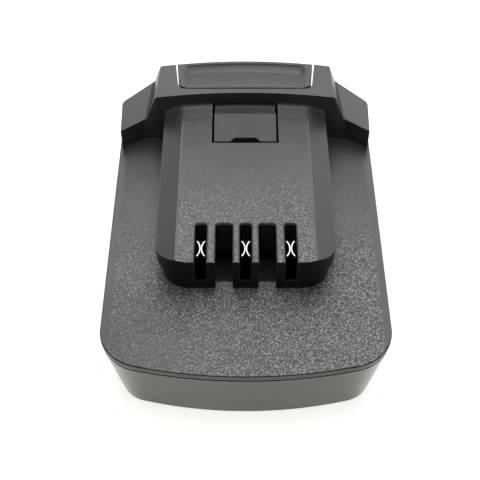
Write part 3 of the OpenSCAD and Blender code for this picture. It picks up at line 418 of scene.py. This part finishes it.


# plated and plain metals: fine drawing lines, tarnish in broad patches, and painted shade on the clips below their
# tips
metalSet = {
    "springSteel": {"tone": (0.42, 0.42, 0.43), "dull": (0.20, 0.19, 0.18), "rough": 0.26,
                    "lines": (600, 600, 2600)},
    "platedContact": {"tone": (0.90, 0.90, 0.90), "dull": (0.72, 0.72, 0.71), "rough": 0.12,
                      "lines": (900, 300, 3000)},
    "clipPlating": {"tone": (0.90, 0.90, 0.90), "dull": (0.72, 0.72, 0.71), "rough": 0.12,
                    "lines": (900, 300, 3000),
                    "footShade": (0.03, 0.03, 0.03), "footShadeFrom": (26.6 * mm, 24.6 * mm)},   # dark below the tips
    "screwSteel": {"tone": (0.55, 0.55, 0.57), "dull": (0.30, 0.29, 0.28), "rough": 0.30,
                   "lines": (1600, 1600, 900)},
    "solderTin": {"tone": (0.72, 0.72, 0.73), "dull": (0.42, 0.42, 0.43), "rough": 0.22,
                  "lines": (700, 700, 700)},
}
metalSkin = {"markScale": 160.0, "tarnish": 0.55, "lineSpan": (0.3, 0.7), "swing": (-0.06, 0.1),
             "bump": (0.15, 0.03 * mm)}


def makeMetal(name, spec):
    material, tree, shader, place = newMaterial(name)
    link = tree.links.new
    stretch = addNode(tree, "ShaderNodeMapping", (-5, 0), Scale=spec["lines"])
    link(place, stretch.inputs["Vector"])
    lines = addNode(tree, "ShaderNodeTexNoise", (-4, 0), Scale=1.0, Detail=3.0)
    link(stretch.outputs["Vector"], lines.inputs["Vector"])
    marks = groupNode(tree, handling, place, (-4, -2), Scale=metalSkin["markScale"])
    tarnish = mathNode(tree, "MULTIPLY", marks.outputs["Smear"], metalSkin["tarnish"], at=(-2, 1))
    colour = mixColour(tree, tarnish, spec["tone"], spec["dull"], (0, 1))
    # painted shade: the clips turn dark below their tips
    if "footShade" in spec:
        axes = addNode(tree, "ShaderNodeSeparateXYZ", (-5, 3))
        link(place, axes.inputs["Vector"])
        below = rampNode(tree, axes.outputs["Z"], *spec["footShadeFrom"], at=(-3, 3))
        colour = mixColour(tree, below, colour, spec["footShade"], (1, 2))
    link(colour, shader.inputs["Base Color"])
    swingRough(tree, shader, lines.outputs["Fac"], spec["rough"], metalSkin["swing"], metalSkin["lineSpan"])
    shader.inputs["Metallic"].default_value = 1.0
    bumpNode(tree, shader, lines.outputs["Fac"], *metalSkin["bump"])
    return material


metals = {name: makeMetal(name, spec) for name, spec in metalSet.items()}
print("metals made")


# small inner parts: laminate with its weave, resistor with bright ends, carrier resin, wire skins
boardSet = {"tone": (0.003, 0.012, 0.009), "weave": (0.004, 0.018, 0.013), "rough": 0.45, "swing": (-0.06, 0.08),
            "specular": 0.3, "scale": 1500.0, "markScale": 90.0, "bump": (0.1, 0.03 * mm)}
resistorSet = {"tone": (0.012, 0.012, 0.014), "ends": (0.70, 0.70, 0.70), "rough": 0.35, "swing": (-0.08, 0.1),
               "endsFrom": (1.12 * mm, 1.18 * mm), "markScale": 400.0}
resinSet = {
    "carrierPlastic": {"tone": (0.58, 0.47, 0.29), "speck": (0.42, 0.33, 0.19), "rough": 0.46, "scale": 700.0},
    "redInsulation": {"tone": (0.36, 0.022, 0.020), "speck": (0.24, 0.012, 0.012), "rough": 0.38, "scale": 300.0},
    "blackInsulation": {"tone": (0.016, 0.018, 0.022), "speck": (0.035, 0.036, 0.040), "rough": 0.40,
                        "scale": 300.0},
}
resinSkin = {"mottle": (0.4, 0.75), "markScale": 70.0, "swing": (-0.05, 0.08), "bump": (0.12, 0.05 * mm)}


def makeBoard(name, spec):
    material, tree, shader, place = newMaterial(name)
    link = tree.links.new
    waves = []
    for row, direction in ((1, "X"), (0, "Y")):
        wave = addNode(tree, "ShaderNodeTexWave", (-4, row), wave_type="BANDS", bands_direction=direction,
                       Scale=spec["scale"])
        link(place, wave.inputs["Vector"])
        waves.append(wave.outputs["Fac"])
    woven = mathNode(tree, "MULTIPLY", *waves, at=(-2, 1))
    link(mixColour(tree, woven, spec["tone"], spec["weave"], (0, 1)), shader.inputs["Base Color"])
    marks = groupNode(tree, handling, place, (-4, -2), Scale=spec["markScale"])
    swingRough(tree, shader, marks.outputs["Smear"], spec["rough"], spec["swing"])
    shader.inputs["Specular IOR Level"].default_value = spec["specular"]
    bumpNode(tree, shader, woven, *spec["bump"])
    return material


def makeResin(name, spec):
    material, tree, shader, place = newMaterial(name)
    link = tree.links.new
    cloud = addNode(tree, "ShaderNodeTexNoise", (-4, 1), Scale=spec["scale"], Detail=4.0)
    link(place, cloud.inputs["Vector"])
    mottle = rampNode(tree, cloud.outputs["Fac"], *resinSkin["mottle"], at=(-2, 1))
    link(mixColour(tree, mottle, spec["tone"], spec["speck"], (0, 1)), shader.inputs["Base Color"])
    marks = groupNode(tree, handling, place, (-4, -2), Scale=resinSkin["markScale"])
    swingRough(tree, shader, marks.outputs["Smear"], spec["rough"], resinSkin["swing"])
    bumpNode(tree, shader, cloud.outputs["Fac"], *resinSkin["bump"])
    return material


def makeResistor(name, spec):
    material, tree, shader, place = newMaterial(name)
    link = tree.links.new
    axes = addNode(tree, "ShaderNodeSeparateXYZ", (-5, 1))
    link(place, axes.inputs["Vector"])
    aside = mathNode(tree, "ABSOLUTE", axes.outputs["X"], None, at=(-4, 1))
    ends = rampNode(tree, aside, *spec["endsFrom"], at=(-3, 1))
    link(mixColour(tree, ends, spec["tone"], spec["ends"], (0, 1)), shader.inputs["Base Color"])
    link(ends, shader.inputs["Metallic"])
    marks = groupNode(tree, handling, place, (-4, -2), Scale=spec["markScale"])
    swingRough(tree, shader, marks.outputs["Smear"], spec["rough"], spec["swing"])
    return material


boardLaminate = makeBoard("boardLaminate", boardSet)
resistorBody = makeResistor("resistorBody", resistorSet)
resins = {name: makeResin(name, spec) for name, spec in resinSet.items()}
print("inner materials made")


# mesh helpers: bevel, shading, and a finished piece on its body
meshSet = {"merge": 0.02 * mm, "crease": math.radians(40.0)}


def bevelEdges(work, edges, width, segments, **options):
    return bmesh.ops.bevel(work, geom=edges, offset=width, offset_type="OFFSET", segments=segments, profile=0.5,
                           affect="EDGES", clamp_overlap=False, loop_slide=False, **options)


def isPaired(edge):
    return len(edge.link_faces) == 2


def softShade(work):
    for face in work.faces:
        face.smooth = True
    for edge in work.edges:
        if isPaired(edge) and edge.calc_face_angle(0.0) > meshSet["crease"]:
            edge.smooth = False


def addPiece(name, work, material, body):
    mesh = bpy.data.meshes.new(name)
    work.to_mesh(mesh)
    work.free()
    piece = bpy.data.objects.new(name, mesh)
    scene.collection.objects.link(piece)
    mesh.materials.append(material)
    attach(piece, body)
    return piece


# mouldings: the CAD shapes with their hard edges softened the way a mould leaves them
rimSet = {
    "chamferLow": 16.6 * mm, "deck": 17.0 * mm, "finer": 0.20 * mm,
    "ledge": 14.8 * mm, "ledgeOut": 0.30 * mm,
    "bandTop": 16.0 * mm, "bandBevel": 0.20 * mm,
    "padFront": 39.4 * mm, "padBack": 0.15 * mm, "padFade": 2.0 * mm, "padLow": 22.5 * mm,
    "same": 1e-6, "clear": 1e-5,       # how near counts as level, how far as clear of it
}


def atHeight(vert, height):
    return abs(vert.co.z - height) < rimSet["same"]


def lowestOf(face):
    return min(corner.co.z for corner in face.verts)


# which way the chosen faces round a corner look, seen from above
def outward(vert, keep):
    total = Vector((0.0, 0.0, 0.0))
    for face in vert.link_faces:
        if keep(face):
            total += Vector((face.normal.x, face.normal.y, 0.0)) * face.calc_area()
    return total.normalized() if total.length > 0 else total


# the deck's edge keeps a thinner chamfer than the frame's
def trimRim(work):
    def isChamfer(face):
        return 0.5 < face.normal.z < 0.9
    def isLowChamfer(face):
        return isChamfer(face) and lowestOf(face) < rimSet["chamferLow"] + rimSet["clear"]
    ring = [v for v in work.verts if atHeight(v, rimSet["chamferLow"]) and any(map(isChamfer, v.link_faces))]
    edge = [v for v in work.verts if atHeight(v, rimSet["deck"]) and any(map(isLowChamfer, v.link_faces))]
    moves = [(v, outward(v, isChamfer) * rimSet["finer"]) for v in edge]
    moves += [(v, Vector((0.0, 0.0, rimSet["finer"]))) for v in ring]
    for vert, move in moves:
        vert.co += move
    print("rim trimmed:", len(ring), len(edge))


# the skirt's upper edge comes out level with the band, so the groove shows from above
def trimSkirt(work):
    def isWall(face):
        return abs(face.normal.z) < 0.35 and lowestOf(face) < rimSet["ledge"] - rimSet["clear"]
    def isOuter(face):
        return abs(face.normal.z) < 0.1 and face.normal.dot(face.calc_center_median()) > 0
    ledge = [v for v in work.verts if atHeight(v, rimSet["ledge"]) and any(map(isWall, v.link_faces))]
    moves = [(v, outward(v, isWall) * rimSet["ledgeOut"]) for v in ledge]
    for vert, move in moves:
        vert.co += move
    top = [e for e in work.edges if all(atHeight(v, rimSet["bandTop"]) for v in e.verts)
           and isPaired(e) and e.is_convex and any(map(isOuter, e.link_faces))]
    bevelEdges(work, top, rimSet["bandBevel"], 1)
    print("skirt trimmed:", len(ledge), len(top))


# the button's front edge stands back a little, so the line in front of it reads
def trimButton(work):
    for vert in work.verts:
        behind = vert.co.y - rimSet["padFront"]
        if vert.co.z > rimSet["padLow"] and -rimSet["clear"] < behind < rimSet["padFade"]:
            vert.co.y += rimSet["padBack"] * (1.0 - behind / rimSet["padFade"])


# the button's hollow as one smooth dish: turned rear wall, rising floor, soft sides
dishSet = {
    "top": 33.4 * mm, "centre": -87.5 * mm, "wall": 138.4 * mm, "turn": 4.0 * mm, "sink": 1.2 * mm,
    "runOut": 0.1 * mm, "front": 39.55 * mm, "frontHalf": 19.4 * mm, "widen": 1.6 / 13.1, "outer": 139.4 * mm,
    "sideLip": 0.9 * mm, "sideRun": 3.0 * mm, "rise": 1.3, "edge": 0.45 * mm,
    "fadeFrom": 0.3 * mm, "fade": 1.5 * mm,
    "finest": 0.7 * mm, "splits": 7,   # the longest edge left on the dish, and how often it may be split
    "upright": 0.55, "below": 0.1 * mm, "ahead": 0.02 * mm,
}


def ease(value):
    value = min(max(value, 0.0), 1.0)
    return value * value * (3.0 - 2.0 * value)


def halfWidth(y, spec):
    return spec["frontHalf"] + (y - spec["front"]) * spec["widen"]


def dishDepth(x, y, spec):
    reach = math.hypot(x, y - spec["centre"])
    middle = spec["wall"] - math.sqrt(spec["turn"] ** 2 - (spec["turn"] - spec["sink"]) ** 2)
    nose = spec["front"] - spec["centre"]
    if reach >= spec["wall"]:
        return 0.0
    if reach > middle:
        depth = spec["sink"] - spec["turn"] + math.sqrt(spec["turn"] ** 2 - (reach - middle) ** 2)
    else:
        share = max((reach - nose) / (middle - nose), 0.0)
        depth = spec["sink"] - (spec["sink"] - spec["runOut"]) * (1.0 - share) ** spec["rise"]
    return depth * ease((halfWidth(y, spec) - abs(x) - spec["sideLip"]) / spec["sideRun"])


def hollowButton(work, strip, spec):
    lowest = spec["top"] - spec["sink"] - spec["below"]
    foremost = spec["front"] - spec["ahead"]
    def onTop(face):
        return face.normal.z > spec["upright"] and all(
            v.co.z > lowest and v.co.y > foremost for v in face.verts)
    field = {f for f in work.faces if onTop(f)}
    bmesh.ops.triangulate(work, faces=[f for f in field if len(f.verts) > 3])
    for attempt in range(spec["splits"]):   # split what is still too long, inside the field only
        field = {f for f in work.faces if onTop(f)}
        long = [e for e in work.edges if e.calc_length() > spec["finest"] and isPaired(e)
                and all(f in field for f in e.link_faces)]
        if not long:
            break
        bmesh.ops.subdivide_edges(work, edges=long, cuts=1)
        bmesh.ops.triangulate(work, faces=[f for f in work.faces if len(f.verts) > 3 and onTop(f)])
    field = {f for f in work.faces if onTop(f)}
    for vert in {v for f in field for v in f.verts}:
        x, y = vert.co.x, vert.co.y
        inset = min(halfWidth(y, spec) - abs(x), spec["outer"] - math.hypot(x, y - spec["centre"]))
        if inset < spec["edge"]:
            continue
        share = ease((y - spec["front"] - spec["fadeFrom"]) / spec["fade"])
        vert.co.z += (spec["top"] - dishDepth(x, y, spec) - vert.co.z) * share
        for face in vert.link_faces:
            face[strip] = 0.0
    work.normal_update()
    print("button hollowed:", len(field))


# round where the leaning flanks run out onto the wings
rootSet = {"round": 0.9 * mm, "segments": 6, "from": (26.0 * mm, 34.0 * mm, 23.0 * mm),
           "steeper": math.radians(45.0), "flat": math.radians(0.2)}


def roundRoots(work, spec):
    side, back, up = spec["from"]
    def isRoot(edge):
        middle = (edge.verts[0].co + edge.verts[1].co) / 2
        near = abs(middle.x) > side and middle.y > back and middle.z > up and isPaired(edge)
        return near and not edge.is_convex and edge.calc_face_angle(0.0) > spec["steeper"]
    def isFlat(edge):
        return isPaired(edge) and edge.calc_face_angle(0.0) < spec["flat"]
    touching = {f for e in work.edges if isRoot(e) for f in e.link_faces}
    grown = set()
    while touching != grown:                # spread over the two flat faces on either side of each root
        grown = set(touching)
        for face in grown:
            for edge in face.edges:
                if isFlat(edge):
                    touching.update(edge.link_faces)
    flat = [e for e in work.edges if isFlat(e) and all(f in touching for f in e.link_faces)]
    bmesh.ops.dissolve_edges(work, edges=flat, use_verts=False)
    roots = [e for e in work.edges if isRoot(e)]
    bevelEdges(work, roots, spec["round"], spec["segments"])
    print("roots rounded:", len(roots))


# strips that take wear with a painted highlight (slot chamfers) or painted shade (the deck's chamfer, the ledge
# inside the guide slots)
markSet = {
    "slotSide": 17.0 * mm, "slotHeights": (27.7 * mm, 28.25 * mm), "slotTilt": (0.4, 0.95),
    "rimTilt": (0.3, 0.95), "rimShade": 0.9,
    "ledgeLow": (-9.0 * mm, -12.0 * mm, 14.5 * mm), "ledgeHigh": (9.0 * mm, -10.5 * mm, 17.05 * mm),
    "ledgeShade": 1.0,
}


def markLines(work, strip, line, spec):
    def between(value, span):
        return span[0] < value < span[1]
    rimHeights = (rimSet["chamferLow"], rimSet["deck"] - rimSet["same"])
    ledge = list(zip(spec["ledgeLow"], spec["ledgeHigh"]))
    for face in work.faces:
        middle, tilt = face.calc_center_median(), face.normal.z
        if (abs(middle.x) < spec["slotSide"] and between(middle.z, spec["slotHeights"])
                and between(tilt, spec["slotTilt"])):
            face[strip] = 1.0
        # painted shade along the deck's chamfer and on the ledge inside the guide slots
        if between(middle.z, rimHeights) and between(tilt, spec["rimTilt"]):
            face[strip], face[line] = 0.0, spec["rimShade"]
        if all(between(value, span) for value, span in zip(middle, ledge)):
            face[strip], face[line] = 0.0, spec["ledgeShade"]


mouldingSet = {
    "upper_housing": {"piece": "upperShell", "body": "housing", "slot": "housing_plastic",
                      "width": 0.10 * mm, "sharper": 19.0, "material": housingPlastic, "trim": trimRim,
                      "roots": rootSet, "marks": markSet},
    "lower_housing": {"piece": "lowerShell", "body": "housing", "slot": "housing_plastic",
                      "width": 0.10 * mm, "sharper": 28.0, "material": skirtPlasticWithFloorReflection, "trim": trimSkirt},
    "release_latch": {"piece": "releaseButton", "body": "latch", "slot": "latch_plastic",
                      "width": 0.14 * mm, "sharper": 30.0, "material": latchPlastic, "trim": trimButton,
                      "hollow": dishSet},
}


def makeMoulding(nodeName, spec):
    work = bmesh.new()
    work.from_mesh(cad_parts[nodeName].data)
    bmesh.ops.remove_doubles(work, verts=work.verts, dist=meshSet["merge"])
    bmesh.ops.dissolve_degenerate(work, dist=meshSet["merge"], edges=work.edges)
    work.normal_update()
    spec["trim"](work)
    if "roots" in spec:
        roundRoots(work, spec["roots"])
    sharper = math.radians(spec["sharper"])
    hard = [e for e in work.edges if isPaired(e) and e.calc_face_angle(0.0) > sharper]
    strip = work.faces.layers.float.new("edgeBand")
    line = work.faces.layers.float.new("shadeLine")
    made = bevelEdges(work, hard, spec["width"], 2, miter_outer="SHARP")
    for face in made["faces"]:
        face[strip] = 1.0
    if "marks" in spec:
        markLines(work, strip, line, spec["marks"])
    if "hollow" in spec:
        hollowButton(work, strip, spec["hollow"])
    low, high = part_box(nodeName)
    for vert in work.verts:                 # nothing stands outside the node's own box
        vert.co = [min(max(c, floor), roof) for c, floor, roof in zip(vert.co, low, high)]
    softShade(work)
    bmesh.ops.triangulate(work, faces=[f for f in work.faces if len(f.verts) > 4])
    piece = addPiece(spec["piece"], work, spec["material"], spec["body"])
    even = piece.modifiers.new("evenNormals", "WEIGHTED_NORMAL")
    even.keep_sharp = True
    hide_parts(nodeName)
    print("moulding", spec["piece"], len(piece.data.polygons), "faces")


for nodeName, mouldingSpec in mouldingSet.items():
    makeMoulding(nodeName, mouldingSpec)


# coves at the bridge's root: hollow rounds from the tongue's top, and from the latch's arm, up to the bridge
coveSet = {
    "under": 0.15 * mm, "steps": 14, "stations": 12, "merge": 0.005 * mm,
    "bow": 162.0 * mm, "crown": 37.09 * mm,            # the bridge's front in plan
    "flat": 18.7 * mm, "fall": 0.4,                    # where the tongue's shoulders start, and how they fall
    "pieces": {
        "bridgeCoveLeft": {"ends": (-24.0 * mm, -9.75 * mm), "floor": 28.2 * mm, "back": 0.0,
                           "run": 5.8 * mm, "rise": 1.7 * mm,
                           "body": "housing", "slot": "housing_plastic", "material": housingPlastic},
        "bridgeCoveRight": {"ends": (9.75 * mm, 24.0 * mm), "floor": 28.2 * mm, "back": 0.0,
                            "run": 5.8 * mm, "rise": 1.7 * mm,
                            "body": "housing", "slot": "housing_plastic", "material": housingPlastic},
        "armCove": {"ends": (-8.95 * mm, 8.95 * mm), "floor": 27.9 * mm, "back": 0.2 * mm,
                    "run": 4.6 * mm, "rise": 1.2 * mm,
                    "body": "latch", "slot": "latch_plastic", "material": latchPlastic},
    },
}


# faces between neighbouring rings of points
def skinLoops(work, loops):
    for first, second in zip(loops, loops[1:]):
        for index in range(len(first)):
            other = (index + 1) % len(first)
            work.faces.new((first[index], first[other], second[other], second[index]))


def makeCove(name, spec):
    work = bmesh.new()
    loops = []
    run, rise, under = spec["run"], spec["rise"], coveSet["under"]
    start, end = spec["ends"]
    for station in range(coveSet["stations"] + 1):
        x = start + (end - start) * station / coveSet["stations"]
        y = coveSet["crown"] - coveSet["bow"] + math.sqrt(coveSet["bow"] ** 2 - x * x) - spec["back"]
        z = spec["floor"] - max(abs(x) - coveSet["flat"], 0.0) * coveSet["fall"]
        profile = []
        for step in range(coveSet["steps"] + 1):
            angle = math.pi / 2 * step / coveSet["steps"]
            profile.append((y - run + run * math.sin(angle), z + rise - rise * math.cos(angle)))
        buried = under if spec["back"] == 0.0 else 0.0  # the housing's own coves reach into the bridge
        profile += [(y + buried, z + rise), (y + buried, z - under), (y - run, z - under)]
        loops.append([work.verts.new((x, across, up)) for across, up in profile])
    skinLoops(work, loops)
    work.faces.new(loops[0])
    work.faces.new(list(reversed(loops[-1])))
    bmesh.ops.remove_doubles(work, verts=work.verts, dist=coveSet["merge"])
    bmesh.ops.dissolve_degenerate(work, dist=coveSet["merge"], edges=work.edges)
    bmesh.ops.recalc_face_normals(work, faces=work.faces)
    softShade(work)
    addPiece(name, work, spec["material"], spec["body"])


for coveName, coveSpec in coveSet["pieces"].items():
    makeCove(coveName, coveSpec)
print("coves made:", len(coveSet["pieces"]))


# latch springs: fine round wire with closed end turns
springSet = {
    "wire": 0.6 * mm,
    "activeTurns": 4.0,
    "endTurns": 0.9,
    "endPitch": 1.02,                  # rise of an end turn, in wire thicknesses
    "ringsPerTurn": 28,
    "sides": 10,
    "pressed": 0.588,                  # share of its length left at the end of the latch's travel
}


def makeSpring(nodeName, pieceName):
    low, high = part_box(nodeName)
    middle = (Vector(low) + Vector(high)) / 2
    wireR = springSet["wire"] / 2
    coilR = (high[0] - low[0]) / 2 - wireR
    ends = springSet["endTurns"]
    turns = springSet["activeTurns"] + 2 * ends
    rings = int(turns * springSet["ringsPerTurn"])
    floorZ, roofZ = low[2] + wireR, high[2] - wireR
    closed = ends * springSet["wire"] * springSet["endPitch"]
    def height(turn):
        if turn < ends:
            return floorZ + closed * turn / ends
        if turn > turns - ends:
            return roofZ - closed * (turns - turn) / ends
        share = (turn - ends) / springSet["activeTurns"]
        return floorZ + closed + (roofZ - floorZ - 2 * closed) * share
    work = bmesh.new()
    loops = []
    for ring in range(rings + 1):
        turn = turns * ring / rings
        angle = math.tau * turn
        loop = []
        for side in range(springSet["sides"]):
            around = math.tau * side / springSet["sides"]
            reach = coilR + wireR * math.cos(around)
            loop.append(work.verts.new((middle.x + reach * math.cos(angle), middle.y + reach * math.sin(angle),
                                        height(turn) + wireR * math.sin(around))))
        loops.append(loop)
    skinLoops(work, loops)
    work.faces.new(list(reversed(loops[0])))
    work.faces.new(loops[-1])
    bmesh.ops.recalc_face_normals(work, faces=work.faces)
    for face in work.faces:
        face.smooth = len(face.verts) == 4
    piece = addPiece(pieceName, work, metals["springSteel"], "housing")
    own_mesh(piece)
    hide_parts(nodeName)


makeSpring("latch_spring_left", "coilLeft")
makeSpring("latch_spring_right", "coilRight")
print("springs made")


# the CAD nodes get their finish here, the replaced ones too
finishOf = {
    "positive_clip": metals["clipPlating"],
    "signal_clip": metals["clipPlating"],
    "negative_clip": metals["clipPlating"],
    "contact_board": boardLaminate,
    "id_resistor": resistorBody,
    "contact_board_screws": metals["screwSteel"],
    "blade_carrier": resins["carrierPlastic"],
    "positive_blade": metals["platedContact"],
    "negative_blade": metals["platedContact"],
    "blade_carrier_screws": metals["screwSteel"],
    "positive_wire": resins["redInsulation"],
    "negative_wire": resins["blackInsulation"],
    "clip_solder": metals["solderTin"],
    "lead_solder": metals["solderTin"],
    "case_screws": metals["screwSteel"],
    "upper_housing": housingPlastic,
    "lower_housing": skirtPlasticWithFloorReflection,
    "release_latch": latchPlastic,
    "latch_spring_left": metals["springSteel"],
    "latch_spring_right": metals["springSteel"],
}
for nodeName, material in finishOf.items():
    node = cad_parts[nodeName]
    if not node.material_slots:
        node.data.materials.append(material)
    for place in node.material_slots:
        place.material = material
print("finishes set on", len(finishOf), "nodes")


# pale floor that keeps the shadow
floorSet = {
    "size": 6.0, "height": -0.05 * mm,
    "tone": (0.87, 0.86, 0.76), "dim": 0.985, "mottleScale": 4.0, "mottle": (0.2, 0.8),
    "rough": 0.9,
    "lift": 0.69,                      # what the camera and reflections see on top, so the bare floor reads white
}


def makeFloor(spec):
    bpy.ops.mesh.primitive_plane_add(size=spec["size"], location=(0.0, 0.0, spec["height"]))
    floor = bpy.context.object
    floor.name = "studioFloor"
    material = bpy.data.materials.new("paleFloor")
    material.use_nodes = True
    tree = material.node_tree
    shader = tree.nodes["Principled BSDF"]
    shader.inputs["Roughness"].default_value = spec["rough"]
    shader.inputs["Specular IOR Level"].default_value = 0.0
    faint = addNode(tree, "ShaderNodeTexNoise", (-3, 0), Scale=spec["mottleScale"])
    mottle = rampNode(tree, faint.outputs["Fac"], *spec["mottle"], at=(-2, 0))
    dimmed = tuple(value * spec["dim"] for value in spec["tone"])
    tree.links.new(mixColour(tree, mottle, spec["tone"], dimmed, (-1, 0)), shader.inputs["Base Color"])
    rays = addNode(tree, "ShaderNodeLightPath", (0, 3))
    seen = mathNode(tree, "MAXIMUM", rays.outputs["Is Camera Ray"], rays.outputs["Is Glossy Ray"], at=(1, 3))
    seen = mathNode(tree, "MAXIMUM", seen, rays.outputs["Is Transmission Ray"], at=(2, 3))
    lifted = mathNode(tree, "MULTIPLY", seen, spec["lift"], at=(3, 3))
    shader.inputs["Emission Color"].default_value = (1.0, 1.0, 1.0, 1.0)
    tree.links.new(lifted, shader.inputs["Emission Strength"])
    floor.data.materials.append(material)


# big soft lights from behind and from above
softboxSet = {
    "softboxRear": {"place": (0.055, 0.382, 0.509), "aim": (0.0, 0.0, 0.02), "size": (0.70, 0.39), "radiance": 2.15},
    "softboxTop": {"place": (0.0, 0.0, 0.9), "aim": (0.0, 0.0, 0.0), "size": (0.55, 0.6), "radiance": 2.0},
}


def makeSoftbox(name, spec):
    data = bpy.data.lights.new(name, "AREA")
    data.shape = "RECTANGLE"
    data.size, data.size_y = spec["size"]
    data.energy = spec["radiance"] * math.pi * spec["size"][0] * spec["size"][1]
    lamp = bpy.data.objects.new(name, data)
    scene.collection.objects.link(lamp)
    lamp.location = spec["place"]
    lamp.rotation_euler = (Vector(spec["aim"]) - Vector(spec["place"])).to_track_quat("-Z", "Y").to_euler()
    lamp.visible_camera = False


# dim room that brightens toward the rear, low above the floor; the camera sees white
roomSet = {"tone": (0.22, 0.22, 0.22), "tent": (1.6, 1.6, 1.6), "behind": (0.1, 0.7), "lowDown": (0.6, 0.2)}


def makeRoom(spec):
    world = bpy.data.worlds.new("studioRoom")
    scene.world = world
    world.use_nodes = True
    tree = world.node_tree
    link = tree.links.new
    back = tree.nodes["Background"]
    facing = addNode(tree, "ShaderNodeTexCoord", (-6, 0))
    axes = addNode(tree, "ShaderNodeSeparateXYZ", (-5, 0))
    link(facing.outputs["Generated"], axes.inputs["Vector"])
    behind = rampNode(tree, axes.outputs["Y"], *spec["behind"], at=(-4, 1))
    lowDown = rampNode(tree, axes.outputs["Z"], *spec["lowDown"], at=(-4, -1))
    glow = mathNode(tree, "MULTIPLY", behind, lowDown, at=(-3, 0))
    link(mixColour(tree, glow, spec["tone"], spec["tent"], (-2, 0)), back.inputs["Color"])
    white = addNode(tree, "ShaderNodeBackground", (0, -2), Color=(1.0, 1.0, 1.0, 1.0), Strength=1.0)
    rays = addNode(tree, "ShaderNodeLightPath", (-2, 2))
    both = addNode(tree, "ShaderNodeMixShader", (2, 0))
    link(rays.outputs["Is Camera Ray"], both.inputs["Fac"])
    link(back.outputs["Background"], both.inputs[1])
    link(white.outputs["Background"], both.inputs[2])
    link(both.outputs["Shader"], tree.nodes["World Output"].inputs["Surface"])


makeFloor(floorSet)
for softboxName, softboxSpec in softboxSet.items():
    makeSoftbox(softboxName, softboxSpec)
makeRoom(roomSet)
scene.view_settings.view_transform = "Standard"
print("studio set")
